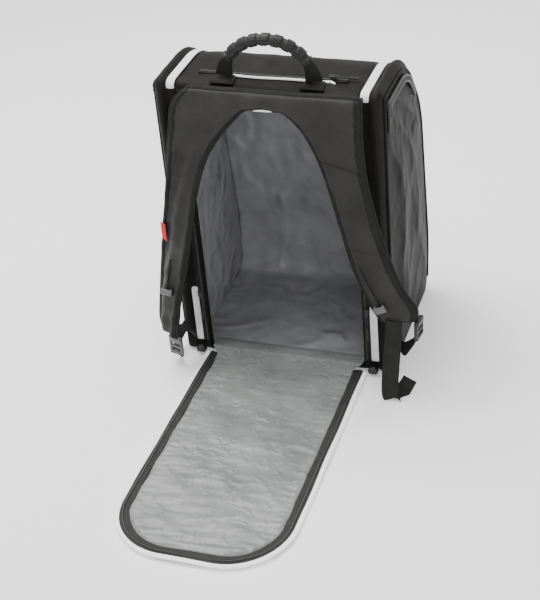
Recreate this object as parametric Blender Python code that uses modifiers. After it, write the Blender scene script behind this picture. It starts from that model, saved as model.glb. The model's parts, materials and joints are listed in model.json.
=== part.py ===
"""Backpack-style boot bag, standing with its back panel unzipped and folded down on the floor.

Metres, +Z up. The origin is on the underside of the base, at its centre. -Y is the harness side,
where the opening is, +Y the outer side and +X the right of someone who looks into the opening.
"""

import math

import bmesh
import bpy
from mathutils import Matrix, Vector

# Body
WIDTH = 0.335
DEPTH = 0.262
HEIGHT = 0.478
FRONT = -DEPTH / 2
EDGE_ROUND = 0.012
FABRIC = 0.0030
LINING = 0.0012
GAP = 0.0003
BOARD = 0.0040

# Panel that folds down, and the opening it closes
FLAP_HALF = 0.1305
FLAP_LENGTH = 0.455
FLAP_CORNER = 0.095
HINGE_Y = FRONT - 0.0075
HINGE_Z = 0.0040
OPENING_HALF = 0.1285
OPENING_TOP = 0.4530
DOOR_SILL = 0.0200
PIPING = 0.0060
ZIP_TAPE = 0.0122

# Trim, pockets and sliders
BAND_INNER = 0.1375
BAND_WIDTH = 0.0130
TRIM = 0.0012
TOP_ZIP_Y = FRONT + 0.042
TOP_ZIP_HALF = 0.112
MAIN_SLIDER = (0.0060, 0.0037, 0.0120)
MAIN_SLIDER_X = 0.1342
MAIN_SLIDER_Z = 0.116
PULL_THICK = 0.0020
PIVOT_BELOW = 0.0016
PULL_ABOVE = 0.0010

# Handle
HANDLE_Y = FRONT + 0.024
HANDLE_AXIS_Z = HEIGHT + 0.0045
GRIP_RADIUS = 0.0095
GRIP_ARC = 0.072
GRIP_TOP = HEIGHT + 0.0625
GRIP_ANGLE = math.radians(56)
HANDLE_FOOT_X = 0.067

# Harness
PAD_THICK = 0.012
WEBBING = 0.0018

# Side profile of the body, as (y from the front plane, z, corner radius), from the front bottom
# corner over the top to the back bottom corner
PROFILE = [
    (0.000, 0.000, 0.012),
    (0.000, HEIGHT, 0.012),
    (0.135, HEIGHT, 0.100),
    (0.225, 0.365, 0.180),
    (0.262, 0.100, 0.250),
    (0.250, 0.000, 0.030),
]

for leftover in list(bpy.data.objects):
    bpy.data.objects.remove(leftover, do_unlink=True)

parts = bpy.data.collections.new("ski_boot_bag")
cutters = bpy.data.collections.new("cutters")
for collection in (parts, cutters):
    bpy.context.scene.collection.children.link(collection)


# ---------------------------------------------------------------- materials


def material(name, colour, roughness, metallic=0.0):
    made = bpy.data.materials.new(name)
    made.use_nodes = True
    shader = made.node_tree.nodes["Principled BSDF"]
    shader.inputs["Base Color"].default_value = (*colour, 1.0)
    shader.inputs["Roughness"].default_value = roughness
    shader.inputs["Metallic"].default_value = metallic
    return made


BLACK_FABRIC = material("black_fabric", (0.050, 0.046, 0.040), 0.80)
COATED_FABRIC = material("coated_fabric", (0.085, 0.083, 0.080), 0.42)
SILVER_LINING = material("silver_lining", (0.370, 0.400, 0.380), 0.50)
WHITE_TRIM = material("white_trim", (0.720, 0.730, 0.730), 0.60)
WEBBING_BLACK = material("black_webbing", (0.022, 0.021, 0.020), 0.75)
RUBBER = material("black_rubber", (0.035, 0.035, 0.034), 0.60)
PLASTIC = material("dark_plastic", (0.030, 0.030, 0.031), 0.38)
GREY_PLASTIC = material("grey_plastic", (0.260, 0.260, 0.265), 0.40)
ZIP_COIL = material("zip_coil", (0.018, 0.018, 0.018), 0.45)
BOARD_GREY = material("board_grey", (0.120, 0.120, 0.120), 0.70)
FOAM_GREY = material("foam_grey", (0.200, 0.200, 0.200), 0.90)
RED_LABEL = material("red_label", (0.460, 0.018, 0.020), 0.60)


# ---------------------------------------------------------------- outlines


def inset(corners, distance):
    """The same rounded polygon with each side moved inwards. Corners run clockwise."""
    moved = []
    for index, (u, v, radius) in enumerate(corners):
        before = Vector(corners[index - 1][:2])
        after = Vector(corners[(index + 1) % len(corners)][:2])
        here = Vector((u, v))
        one = (here - before).normalized()
        two = (after - here).normalized()
        inward = Vector((one.y, -one.x)) + Vector((two.y, -two.x))
        spot = here + inward * distance / (1 + one.dot(two))
        moved.append((spot.x, spot.y, max(radius - distance, 0.0015)))
    return moved


def rounded(corners, first=0, last=None, steps=5):
    """Points along a polygon whose corners are arcs, from one corner to another."""
    last = len(corners) - 1 if last is None else last
    points = []
    for index in range(first, last + 1):
        u, v, radius = corners[index]
        here = Vector((u, v))
        back = (Vector(corners[index - 1][:2]) - here).normalized()
        onward = (Vector(corners[(index + 1) % len(corners)][:2]) - here).normalized()
        half = math.acos(max(-1, min(1, back.dot(onward)))) / 2
        centre = here + (back + onward).normalized() * radius / math.sin(half)
        start = here + back * radius / math.tan(half) - centre
        end = here + onward * radius / math.tan(half) - centre
        turn = start.angle_signed(end)
        for step in range(steps + 1):
            angle = -turn * step / steps
            cos, sin = math.cos(angle), math.sin(angle)
            arm = Vector((start.x * cos - start.y * sin, start.x * sin + start.y * cos))
            points.append((centre.x + arm.x, centre.y + arm.y))
    return points


def profile(distance):
    corners = [(FRONT + y, z, radius) for y, z, radius in PROFILE]
    return inset(corners, distance)


def over_path(distance, low):
    """The line over the body from the front face, over the top and down the back."""
    corners = profile(distance)
    path = rounded(corners, 1, 5)
    kept = [point for point in path if point[1] > low]
    last, below = Vector(kept[-1]), Vector(path[len(kept)])
    back = last + (below - last) * (last.y - low) / (last.y - below.y)
    return [(corners[0][0], low)] + kept + [(back.x, back.y)]


def arch(half, length, corner, low=0.0):
    """An open line up one side, round the top and down the other side."""
    path = [(half, low)]
    for centre_u, start in ((half - corner, 0.0), (corner - half, math.pi / 2)):
        for step in range(9):
            angle = start + math.pi / 2 * step / 8
            path.append(
                (
                    centre_u + corner * math.cos(angle),
                    length - corner + corner * math.sin(angle),
                )
            )
    path.append((-half, low))
    return path


def arch_ring(half, length, corner, outer, inner, low=0.0):
    """A U-shaped strip between two insets of one arch."""
    wide = arch(half - outer, length - outer, corner - outer, low)
    narrow = arch(half - inner, length - inner, corner - inner, low)
    return wide + narrow[::-1]


# ---------------------------------------------------------------- solids


def keep(made, finish, parent=None):
    """Names the finish of an object, puts it in the parts and hangs it on its joint's empty."""
    made.data.materials.append(finish)
    for owner in list(made.users_collection):
        owner.objects.unlink(made)
    parts.objects.link(made)
    if parent is not None:
        made.parent = parent
        made.matrix_parent_inverse = parent.matrix_world.inverted()
    return made


def joint_empty(name, place):
    empty = bpy.data.objects.new(name, None)
    empty.location = place
    parts.objects.link(empty)
    empty.matrix_world = Matrix.Translation(place)
    return empty


TURNS = {
    "floor": (0.0, 0.0, 0.0),
    "front": (math.pi / 2, 0.0, 0.0),
    "side": (math.pi / 2, 0.0, math.pi / 2),
}


def plate(name, outline, thick, place, plane, finish, parent=None):
    """A flat outline in the XY, XZ or YZ plane, as thick as it says about its place."""
    flat = bpy.data.curves.new(name, "CURVE")
    flat.dimensions = "2D"
    flat.fill_mode = "BOTH"
    flat.extrude = thick / 2
    line = flat.splines.new("POLY")
    line.points.add(len(outline) - 1)
    for point, (u, v) in zip(line.points, outline):
        point.co = (u, v, 0.0, 1.0)
    line.use_cyclic_u = True
    made = bpy.data.objects.new(name, flat)
    made.location = place
    made.rotation_euler = TURNS[plane]
    parts.objects.link(made)
    return keep(made, finish, parent)


def tube(name, points, radius, finish, parent=None):
    wire = bpy.data.curves.new(name, "CURVE")
    wire.dimensions = "3D"
    wire.bevel_depth = radius
    wire.bevel_resolution = 2
    wire.use_fill_caps = True
    line = wire.splines.new("POLY")
    line.points.add(len(points) - 1)
    for point, place in zip(line.points, points):
        point.co = (*place, 1.0)
    made = bpy.data.objects.new(name, wire)
    return keep(made, finish, parent)


def box(name, centre, size, finish, parent=None, round_by=0.0006, turn=0.0):
    """A block with eased edges, turned about Z."""
    solid = bmesh.new()
    bmesh.ops.create_cube(solid, size=1.0)
    bmesh.ops.scale(solid, vec=size, verts=solid.verts)
    mesh = bpy.data.meshes.new(name)
    solid.to_mesh(mesh)
    solid.free()
    made = bpy.data.objects.new(name, mesh)
    made.location = centre
    made.rotation_euler = (0.0, 0.0, turn)
    ease = made.modifiers.new("eased", "BEVEL")
    ease.width = round_by
    ease.segments = 1
    return keep(made, finish, parent)


ACROSS = (1.0, 0.0, 0.0)


def along_line(line):
    """Adds the direction of travel to stations of (place, width, thickness, way of its width)."""
    aimed = []
    for index, (place, *rest) in enumerate(line):
        ahead = Vector(line[min(index + 1, len(line) - 1)][0])
        behind = Vector(line[max(index - 1, 0)][0])
        aimed.append((Vector(place), (ahead - behind).normalized(), *rest))
    return aimed


def loft(name, stations, finish, parent=None):
    """A flat band through stations of (place, direction, width, thickness, way of its width).

    Each cross section is a rectangle with cut corners, square to the band's own line.
    """
    solid = bmesh.new()
    rings = []
    for place, along, width, thick, across in stations:
        across = Vector(across)
        across = (across - along * across.dot(along)).normalized()
        normal = along.cross(across)
        cut = min(width, thick) * 0.3
        ring = []
        for u, v in (
            (width / 2 - cut, thick / 2),
            (width / 2, thick / 2 - cut),
            (width / 2, cut - thick / 2),
            (width / 2 - cut, -thick / 2),
            (cut - width / 2, -thick / 2),
            (-width / 2, cut - thick / 2),
            (-width / 2, thick / 2 - cut),
            (cut - width / 2, thick / 2),
        ):
            ring.append(solid.verts.new(place + across * u + normal * v))
        rings.append(ring)
    for ring, following in zip(rings, rings[1:]):
        for corner in range(8):
            onward = (corner + 1) % 8
            solid.faces.new((ring[corner], ring[onward], following[onward], following[corner]))
    solid.faces.new(rings[0][::-1])
    solid.faces.new(rings[-1])
    bmesh.ops.recalc_face_normals(solid, faces=solid.faces)
    mesh = bpy.data.meshes.new(name)
    solid.to_mesh(mesh)
    solid.free()
    return keep(bpy.data.objects.new(name, mesh), finish, parent)


def body_block(name, distance, front=None):
    """The whole body, inset by a distance, with its side edges rounded. front moves its front face."""
    corners = profile(distance)
    if front is not None:
        for index in (0, 1):
            corners[index] = (front, *corners[index][1:])
    outline = rounded(corners)
    half = WIDTH / 2 - distance
    solid = bmesh.new()
    side = solid.faces.new([solid.verts.new((-half, y, z)) for y, z in outline])
    grown = bmesh.ops.extrude_face_region(solid, geom=[side])
    moved = [item for item in grown["geom"] if isinstance(item, bmesh.types.BMVert)]
    bmesh.ops.translate(solid, vec=(2 * half, 0, 0), verts=moved)
    bmesh.ops.recalc_face_normals(solid, faces=solid.faces)
    rims = [edge for edge in solid.edges if abs(edge.verts[0].co.x - edge.verts[1].co.x) < half]
    radius = EDGE_ROUND - distance
    bmesh.ops.bevel(solid, geom=rims, offset=radius, segments=3, profile=0.5, affect="EDGES")
    mesh = bpy.data.meshes.new(name)
    solid.to_mesh(mesh)
    solid.free()
    return bpy.data.objects.new(name, mesh)


def helper(made):
    made.hide_render = True
    made.display_type = "WIRE"
    cutters.objects.link(made)
    return made


def cut(made, cutter):
    less = made.modifiers.new(cutter.name, "BOOLEAN")
    less.operation = "DIFFERENCE"
    less.object = cutter


# ---------------------------------------------------------------- shell and lining

outer_shell = keep(body_block("outer_shell", 0.0), BLACK_FABRIC)
shell_hollow = helper(body_block("shell_hollow", FABRIC))
doorway_line = arch(OPENING_HALF, OPENING_TOP, FLAP_CORNER, DOOR_SILL)
doorway = bmesh.new()
door_face = doorway.faces.new([doorway.verts.new((x, FRONT - 0.02, z)) for x, z in doorway_line])
door_grown = bmesh.ops.extrude_face_region(doorway, geom=[door_face])
door_back = [item for item in door_grown["geom"] if isinstance(item, bmesh.types.BMVert)]
bmesh.ops.translate(doorway, vec=(0, 0.03, 0), verts=door_back)
bmesh.ops.recalc_face_normals(doorway, faces=doorway.faces)
doorway_mesh = bpy.data.meshes.new("doorway")
doorway.to_mesh(doorway_mesh)
doorway.free()
doorway_cutter = helper(bpy.data.objects.new("doorway", doorway_mesh))
cut(outer_shell, shell_hollow)
cut(outer_shell, doorway_cutter)

# The lining is a bag of thin cloth whose mouth is the whole front
LINING_FRONT = FRONT + 0.006
lining_skin = FABRIC + BOARD + 2 * GAP
inner_lining = keep(body_block("inner_lining", lining_skin, LINING_FRONT), SILVER_LINING)
lining_hollow = helper(body_block("lining_hollow", lining_skin + LINING, FRONT - 0.01))
cut(inner_lining, lining_hollow)

BOARD_SPAN = (FRONT + 0.014, FRONT + 0.218)
box(
    "base_board",
    (0.0, sum(BOARD_SPAN) / 2, FABRIC + GAP + BOARD / 2),
    (0.290, BOARD_SPAN[1] - BOARD_SPAN[0], BOARD),
    BOARD_GREY,
    round_by=0.001,
)

# ---------------------------------------------------------------- side panels, bands and piping

SIDE_FACE = WIDTH / 2 + GAP
PANEL_OUT = SIDE_FACE + TRIM + GAP
for side, sign in (("left", -1), ("right", 1)):
    plate(
        f"{side}_side_panel",
        rounded(profile(0.0135)),
        TRIM,
        (sign * (SIDE_FACE + TRIM / 2), 0, 0),
        "side",
        COATED_FABRIC,
    )
    strip = over_path(-GAP, 0.022) + over_path(-GAP - TRIM, 0.022)[::-1]
    plate(
        f"{side}_trim_band",
        strip,
        BAND_WIDTH,
        (sign * (BAND_INNER + BAND_WIDTH / 2), 0, 0),
        "side",
        WHITE_TRIM,
    )
    cord = 0.0018
    out = (EDGE_ROUND + GAP + cord) * math.sqrt(0.5) - EDGE_ROUND
    line = over_path(-out, 0.026)
    tube(
        f"{side}_side_piping",
        [(sign * (WIDTH / 2 + out), y, z) for y, z in line],
        cord,
        WEBBING_BLACK,
    )

# ---------------------------------------------------------------- the opening's zip

plate(
    "opening_zip_teeth",
    arch_ring(OPENING_HALF, OPENING_TOP, FLAP_CORNER, -0.0030, -0.0005, 0.024),
    0.0020,
    (0, FRONT - GAP - 0.0010, 0),
    "front",
    ZIP_COIL,
)
plate(
    "opening_zip_tape",
    arch_ring(OPENING_HALF, OPENING_TOP, FLAP_CORNER, -0.0083, -0.0033, 0.024),
    TRIM,
    (0, FRONT - GAP - TRIM / 2, 0),
    "front",
    WEBBING_BLACK,
)
plate(
    "flap_hinge_tape",
    [(-0.126, 0.0125), (0.126, 0.0125), (0.126, DOOR_SILL - 0.001), (-0.126, DOOR_SILL - 0.001)],
    0.0018,
    (0, FRONT - GAP - 0.0009, 0),
    "front",
    WEBBING_BLACK,
)

# ---------------------------------------------------------------- the panel that folds down

flap_joint = joint_empty("flap_joint", (0.0, HINGE_Y, HINGE_Z))
FLAP_NEAR = 0.0010


def flap_outline(outer):
    """The flap's arch at an inset, drawn away from the hinge."""
    line = arch(FLAP_HALF - outer, FLAP_LENGTH - outer, FLAP_CORNER - outer, FLAP_NEAR)
    return [(x, -y) for x, y in line]


def flap_ring(outer, inner):
    line = arch_ring(FLAP_HALF, FLAP_LENGTH, FLAP_CORNER, outer, inner, FLAP_NEAR)
    return [(x, -y) for x, y in line]


def flap_layer(name, outline, low, high, finish):
    plate(name, outline, high - low, (0, HINGE_Y, (low + high) / 2), "floor", finish, flap_joint)


TAPE_INNER = PIPING + GAP + ZIP_TAPE
LINING_INSET = TAPE_INNER + GAP
flap_layer("flap_panel", flap_outline(0.0), 0.0, 0.0015, BLACK_FABRIC)
flap_layer("flap_piping", flap_ring(0.0, PIPING), 0.0018, 0.0045, WHITE_TRIM)
flap_layer("flap_zip_tape", flap_ring(PIPING + GAP, TAPE_INNER), 0.0018, 0.0032, WEBBING_BLACK)
flap_layer("flap_zip_teeth", flap_ring(0.0095, 0.0125), 0.0035, 0.0058, ZIP_COIL)
flap_layer("flap_foam", flap_outline(LINING_INSET), 0.0018, 0.0058, FOAM_GREY)
flap_layer("flap_lining", flap_outline(LINING_INSET), 0.0061, 0.0075, SILVER_LINING)


# ---------------------------------------------------------------- sliders of the main zip


def slider_and_pull(name, centre, size, pull_size):
    """A slider, and a pull that hangs from a pivot just below it."""
    slide_joint = joint_empty(f"{name}_slide", centre)
    box(f"{name}_slider", centre, size, PLASTIC, slide_joint)
    pivot = Vector(centre) - Vector((0, 0, size[2] / 2 + PIVOT_BELOW))
    pull_joint = joint_empty(f"{name}_pull_pivot", pivot)
    pull_joint.parent = slide_joint
    pull_joint.matrix_parent_inverse = slide_joint.matrix_world.inverted()
    middle = pivot + Vector((0, 0, PULL_ABOVE - pull_size[2] / 2))
    box(f"{name}_pull", middle, pull_size, WEBBING_BLACK, pull_joint)


for side, sign in (("left", -1), ("right", 1)):
    slider_and_pull(
        f"{side}_main_zip",
        (sign * MAIN_SLIDER_X, FRONT - 0.0028 - MAIN_SLIDER[1] / 2, MAIN_SLIDER_Z),
        MAIN_SLIDER,
        (0.0050, PULL_THICK, 0.0450),
    )

# ---------------------------------------------------------------- side pocket zips

SIDE_ZIP_IN = 0.016
SIDE_ZIP_OUT = 0.026
side_run = over_path(SIDE_ZIP_IN, 0.400) + over_path(SIDE_ZIP_OUT, 0.400)[::-1]
SIDE_SLIDER = (0.0038, 0.0120, 0.0070)
SIDE_SLIDER_Y = FRONT + 0.040
SIDE_SLIDER_Z = HEIGHT - (SIDE_ZIP_IN + SIDE_ZIP_OUT) / 2
for side, sign in (("left", -1), ("right", 1)):
    plate(
        f"{side}_side_zip",
        side_run,
        0.0010,
        (sign * (PANEL_OUT + 0.0005), 0, 0),
        "side",
        ZIP_COIL,
    )
    out = PANEL_OUT + 0.0010 + GAP
    slider_and_pull(
        f"{side}_side_zip",
        (sign * (out + SIDE_SLIDER[0] / 2), SIDE_SLIDER_Y, SIDE_SLIDER_Z),
        SIDE_SLIDER,
        (PULL_THICK, 0.0060, 0.0360),
    )
    box(
        f"{side}_zip_garage",
        (sign * (out + 0.0012), FRONT + 0.0225, 0.4330),
        (0.0024, 0.0125, 0.0200),
        RUBBER,
    )

# ---------------------------------------------------------------- top pocket

ON_TOP = HEIGHT + GAP
box(
    "top_zip_tape",
    (0, TOP_ZIP_Y, ON_TOP + 0.0005),
    (2 * TOP_ZIP_HALF, 0.0120, 0.0010),
    ZIP_COIL,
    round_by=0.0003,
)
tube(
    "top_zip_piping",
    [(x, TOP_ZIP_Y - 0.0080, ON_TOP + 0.0015) for x in (-TOP_ZIP_HALF, 0.0, TOP_ZIP_HALF)],
    0.0015,
    WHITE_TRIM,
)
TOP_SLIDER = (0.0120, 0.0070, 0.0040)
TOP_SLIDER_X = 0.090
top_place = Vector((TOP_SLIDER_X, TOP_ZIP_Y, ON_TOP + 0.0013 + TOP_SLIDER[2] / 2))
top_joint = joint_empty("top_zip_slide", top_place)
box("top_zip_slider", top_place, TOP_SLIDER, PLASTIC, top_joint)
top_pivot = top_place + Vector((TOP_SLIDER[0] / 2 + PIVOT_BELOW, 0, 0))
top_pull_joint = joint_empty("top_zip_pull_pivot", top_pivot)
box(
    "top_zip_pull",
    top_pivot + Vector((0.0150 - PULL_ABOVE, 0, 0)),
    (0.0300, 0.0060, PULL_THICK),
    WEBBING_BLACK,
    top_pull_joint,
)
# An empty pocket bag lies flat under the top, inside the shell and above the lining's roof
box(
    "top_pocket_bag",
    (0, TOP_ZIP_Y + 0.012, HEIGHT - FABRIC - GAP - 0.0016),
    (0.200, 0.064, 0.0030),
    BLACK_FABRIC,
)

# ---------------------------------------------------------------- carrying handle

handle_joint = joint_empty("handle_joint", (0.0, HANDLE_Y, HANDLE_AXIS_Z))
ARC_CENTRE_Z = GRIP_TOP - GRIP_ARC


def on_arc(angle):
    return (
        GRIP_ARC * math.sin(angle),
        HANDLE_Y,
        ARC_CENTRE_Z + GRIP_ARC * math.cos(angle),
    )


tube(
    "handle_grip",
    [on_arc(GRIP_ANGLE * step / 8) for step in range(-8, 9)],
    GRIP_RADIUS,
    RUBBER,
    handle_joint,
)
for side, sign in (("left", -1), ("right", 1)):
    top = Vector(on_arc(sign * (GRIP_ANGLE + 4 * GAP / GRIP_ARC)))
    along = Vector((sign * math.cos(GRIP_ANGLE), 0.0, -math.sin(GRIP_ANGLE)))
    foot = Vector((sign * HANDLE_FOOT_X, HANDLE_Y, HANDLE_AXIS_Z - 0.0008))
    loft(
        f"{side}_handle_webbing",
        along_line(
            [
                (top, 0.016, 0.0022, ACROSS),
                (top + along * 0.004, 0.018, 0.0022, ACROSS),
                (foot + Vector((0, 0, 0.008)), 0.024, 0.0022, ACROSS),
                (foot, 0.026, 0.0022, ACROSS),
            ]
        ),
        WEBBING_BLACK,
        handle_joint,
    )
    plate(
        f"{side}_handle_patch",
        [
            (sign * HANDLE_FOOT_X - 0.020, FRONT + 0.0108),
            (sign * HANDLE_FOOT_X + 0.020, FRONT + 0.0108),
            (sign * HANDLE_FOOT_X + 0.016, FRONT + 0.0315),
            (sign * HANDLE_FOOT_X - 0.016, FRONT + 0.0315),
        ],
        0.0018,
        (0, 0, ON_TOP + 0.0009),
        "floor",
        WEBBING_BLACK,
    )

# ---------------------------------------------------------------- harness

YOKE_LOW = 0.4625
YOKE_OUT = 0.0145
yoke_section = [
    (FRONT - YOKE_OUT, YOKE_LOW),
    (FRONT - YOKE_OUT, HEIGHT + 0.0015),
    (FRONT - YOKE_OUT + 0.005, HEIGHT + 0.0065),
    (FRONT + 0.0100, HEIGHT + 0.0065),
    (FRONT + 0.0100, HEIGHT + 0.0030),
    (FRONT - 0.0025, HEIGHT + 0.0030),
    (FRONT - 0.0025, YOKE_LOW),
]
plate("harness_yoke", yoke_section, 0.300, (0, 0, 0), "side", BLACK_FABRIC)

# Each strap runs from the yoke to its end: (place from the front plane, width, turn in degrees).
# Its last stretch hangs beside the flap's path and is a solid of its own.
STRAPS = {
    "right": [
        ((0.0880, -0.0190, 0.4590), 0.090, 0),
        ((0.0885, -0.0190, 0.4520), 0.088, 0),
        ((0.0975, -0.0240, 0.4150), 0.080, 0),
        ((0.1140, -0.0330, 0.3600), 0.070, 0),
        ((0.1365, -0.0410, 0.2880), 0.066, 0),
        ((0.1570, -0.0460, 0.2240), 0.064, 0),
        ((0.1690, -0.0470, 0.1900), 0.064, 0),
        ((0.1830, -0.0465, 0.1580), 0.060, 0),
        ((0.1930, -0.0440, 0.1300), 0.048, 0),
    ],
    "left": [
        ((-0.0880, -0.0190, 0.4590), 0.090, 0),
        ((-0.0885, -0.0190, 0.4520), 0.088, 0),
        ((-0.0960, -0.0240, 0.4150), 0.080, 0),
        ((-0.1080, -0.0320, 0.3700), 0.072, -6),
        ((-0.1230, -0.0400, 0.3100), 0.066, -18),
        ((-0.1390, -0.0460, 0.2430), 0.064, -33),
        ((-0.1500, -0.0480, 0.1900), 0.062, -36),
        ((-0.1600, -0.0490, 0.1400), 0.060, -36),
        ((-0.1660, -0.0490, 0.1100), 0.056, -36),
        ((-0.1700, -0.0490, 0.0850), 0.052, -36),
        ((-0.1725, -0.0480, 0.0650), 0.044, -36),
    ],
}
STRAP_SPLIT = {"right": 6, "left": 8}


def from_front(place):
    x, y, z = place
    return (x, FRONT + y, z)


def turned(degrees):
    angle = math.radians(degrees)
    return (math.cos(angle), math.sin(angle), 0.0)


for side, line in STRAPS.items():
    whole = along_line(
        [(from_front(place), width, PAD_THICK, turned(turn)) for place, width, turn in line]
    )
    split = STRAP_SPLIT[side]
    loft(f"{side}_shoulder_pad", whole[: split + 1], BLACK_FABRIC)
    place, along, *rest = whole[split]
    below = (place + along * 2 * GAP, along, *rest)
    loft(f"{side}_strap_end", [below] + whole[split + 1 :], BLACK_FABRIC)


def webbing(name, line):
    """Flat webbing through stations of (place from the front plane, width, way of its width)."""
    aimed = along_line([(from_front(place), width, WEBBING, across) for place, width, across in line])
    loft(name, aimed, WEBBING_BLACK)


# Adjusters, the webbing down to the body's corners, and the loose webbing tails
box("right_ladder_lock", from_front((0.2240, -0.0400, 0.1260)), (0.0060, 0.0260, 0.0300), PLASTIC)
box(
    "left_ladder_lock",
    from_front((-0.1660, -0.0480, 0.0430)),
    (0.0260, 0.0050, 0.0300),
    GREY_PLASTIC,
    turn=math.radians(-20),
)
webbing(
    "right_lower_webbing",
    [
        ((0.2205, -0.0370, 0.1050), 0.022, (0, 1, 0)),
        ((0.2060, -0.0160, 0.0760), 0.022, (0, 0.9, 0.3)),
        ((0.1900, 0.0060, 0.0500), 0.022, (0, 0.4, 0.9)),
        ((0.1780, 0.0240, 0.0430), 0.022, (0, 0, 1)),
    ],
)
webbing(
    "left_lower_webbing",
    [
        ((-0.1690, -0.0430, 0.0210), 0.022, turned(-30)),
        ((-0.1755, -0.0280, 0.0150), 0.022, (0.6, -0.2, -0.6)),
        ((-0.1800, -0.0060, 0.0220), 0.022, (0, 0, -1)),
        ((-0.1770, 0.0200, 0.0340), 0.022, (0, 0, -1)),
    ],
)
webbing(
    "right_webbing_tail",
    [
        ((0.1900, -0.0520, 0.1220), 0.026, turned(0)),
        ((0.1860, -0.0560, 0.0800), 0.026, turned(0)),
        ((0.1830, -0.0590, 0.0380), 0.026, turned(4)),
        ((0.1830, -0.0610, 0.0130), 0.026, turned(12)),
        ((0.1860, -0.0580, 0.0035), 0.026, turned(24)),
        ((0.1920, -0.0500, 0.0030), 0.026, turned(30)),
        ((0.2000, -0.0400, 0.0110), 0.025, turned(30)),
        ((0.2070, -0.0310, 0.0230), 0.024, turned(30)),
    ],
)
webbing(
    "left_webbing_tail",
    [
        ((-0.1660, -0.0400, 0.0600), 0.024, turned(-36)),
        ((-0.1580, -0.0290, 0.0640), 0.024, turned(-36)),
        ((-0.1520, -0.0200, 0.0560), 0.024, turned(-36)),
        ((-0.1490, -0.0150, 0.0420), 0.024, turned(-36)),
    ],
)
for side, sign in (("left", -1), ("right", 1)):
    box(
        f"{side}_webbing_anchor",
        (sign * (PANEL_OUT + 0.0012), FRONT + 0.034, 0.0400),
        (0.0024, 0.0300, 0.0340),
        WEBBING_BLACK,
    )
    box(
        f"{side}_zip_end_guard",
        (sign * 0.1420, FRONT - 0.0060, 0.0090),
        (0.0160, 0.0110, 0.0160),
        PLASTIC,
        round_by=0.002,
    )

# Sternum strap rails and their sliders, and the red tab on the left strap
RAILS = {
    "right": ((0.1760, -0.0580, 0.1560), (0.1440, -0.0560, 0.2300)),
    "left": ((-0.1650, -0.0590, 0.1450), (-0.1530, -0.0580, 0.2100)),
}
for side, (low, high) in RAILS.items():
    low_end, high_end = Vector(from_front(low)), Vector(from_front(high))
    tube(f"{side}_sternum_rail", [low_end, high_end], 0.0012, WEBBING_BLACK)
    start = low_end.lerp(high_end, 0.12)
    rail_joint = joint_empty(f"{side}_sternum_slide", start)
    along = (high_end - low_end).normalized()
    loft(
        f"{side}_sternum_slider",
        along_line(
            [
                (start - along * 0.006 + Vector((0, -0.0045, 0)), 0.018, 0.0050, ACROSS),
                (start + along * 0.006 + Vector((0, -0.0045, 0)), 0.018, 0.0050, ACROSS),
            ]
        ),
        GREY_PLASTIC,
        rail_joint,
    )
box(
    "label_tab",
    from_front((-0.1640, -0.0405, 0.2480)),
    (0.0100, 0.0012, 0.0240),
    RED_LABEL,
    round_by=0.0003,
    turn=math.radians(-33),
)
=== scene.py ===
import json
import math

import bpy
import numpy as np
from mathutils import Matrix, Vector


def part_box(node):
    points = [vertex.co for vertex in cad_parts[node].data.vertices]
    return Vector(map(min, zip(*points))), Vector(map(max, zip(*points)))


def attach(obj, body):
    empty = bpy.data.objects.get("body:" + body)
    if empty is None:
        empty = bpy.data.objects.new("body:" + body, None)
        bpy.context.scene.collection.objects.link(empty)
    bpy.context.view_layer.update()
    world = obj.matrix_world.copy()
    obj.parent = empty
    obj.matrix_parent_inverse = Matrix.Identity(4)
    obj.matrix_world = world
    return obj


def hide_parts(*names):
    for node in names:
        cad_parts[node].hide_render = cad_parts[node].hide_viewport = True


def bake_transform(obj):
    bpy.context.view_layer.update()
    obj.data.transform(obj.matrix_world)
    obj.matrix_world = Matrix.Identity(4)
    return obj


# A backpack-style boot bag, standing on the floor with its back panel unzipped and laid down in
# front of it. The first section says where it is seen from. The rest follow the bag as it is sewn
# together: body and trims, lining, door, harness and its hardware, handle, and the other zips.

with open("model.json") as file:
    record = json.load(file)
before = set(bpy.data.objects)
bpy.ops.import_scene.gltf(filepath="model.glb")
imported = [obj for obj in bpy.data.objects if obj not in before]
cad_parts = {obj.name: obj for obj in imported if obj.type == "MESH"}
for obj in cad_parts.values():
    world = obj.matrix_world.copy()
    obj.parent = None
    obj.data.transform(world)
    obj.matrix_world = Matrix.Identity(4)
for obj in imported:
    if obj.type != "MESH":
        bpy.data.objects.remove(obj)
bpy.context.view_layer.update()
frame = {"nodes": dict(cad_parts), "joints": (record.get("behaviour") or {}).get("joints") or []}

# ------------------------------------------------------------------ where the bag is seen from
# A long lens from the right and well above, a pale seamless floor, and soft light from a big
# overhead box, a weaker one in front and the white room round it.

EYE = Vector((0.634, -1.843, 1.351))
YAW, PITCH, ROLL = math.radians(20.91), math.radians(33.98), math.radians(-5.29)
ahead = Vector((-math.sin(YAW) * math.cos(PITCH), math.cos(YAW) * math.cos(PITCH), -math.sin(PITCH)))
level = Vector((math.cos(YAW), math.sin(YAW), 0.0))
rise = level.cross(ahead)
side_way = level * math.cos(ROLL) + rise * math.sin(ROLL)
up_way = rise * math.cos(ROLL) - level * math.sin(ROLL)
lens = bpy.data.cameras.new("camera")
lens.lens = 85.8
camera = bpy.data.objects.new("camera", lens)
camera.matrix_world = Matrix.Translation(EYE) @ Matrix((side_way, up_way, -ahead)).transposed().to_4x4()
bpy.context.scene.collection.objects.link(camera)
bpy.context.scene.camera = camera

room = bpy.data.worlds.new("room")
room.use_nodes = True
white_walls = room.node_tree.nodes["Background"].inputs
white_walls["Color"].default_value = (1.0, 1.0, 1.0, 1.0)
white_walls["Strength"].default_value = 0.95
bpy.context.scene.world = room

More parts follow.
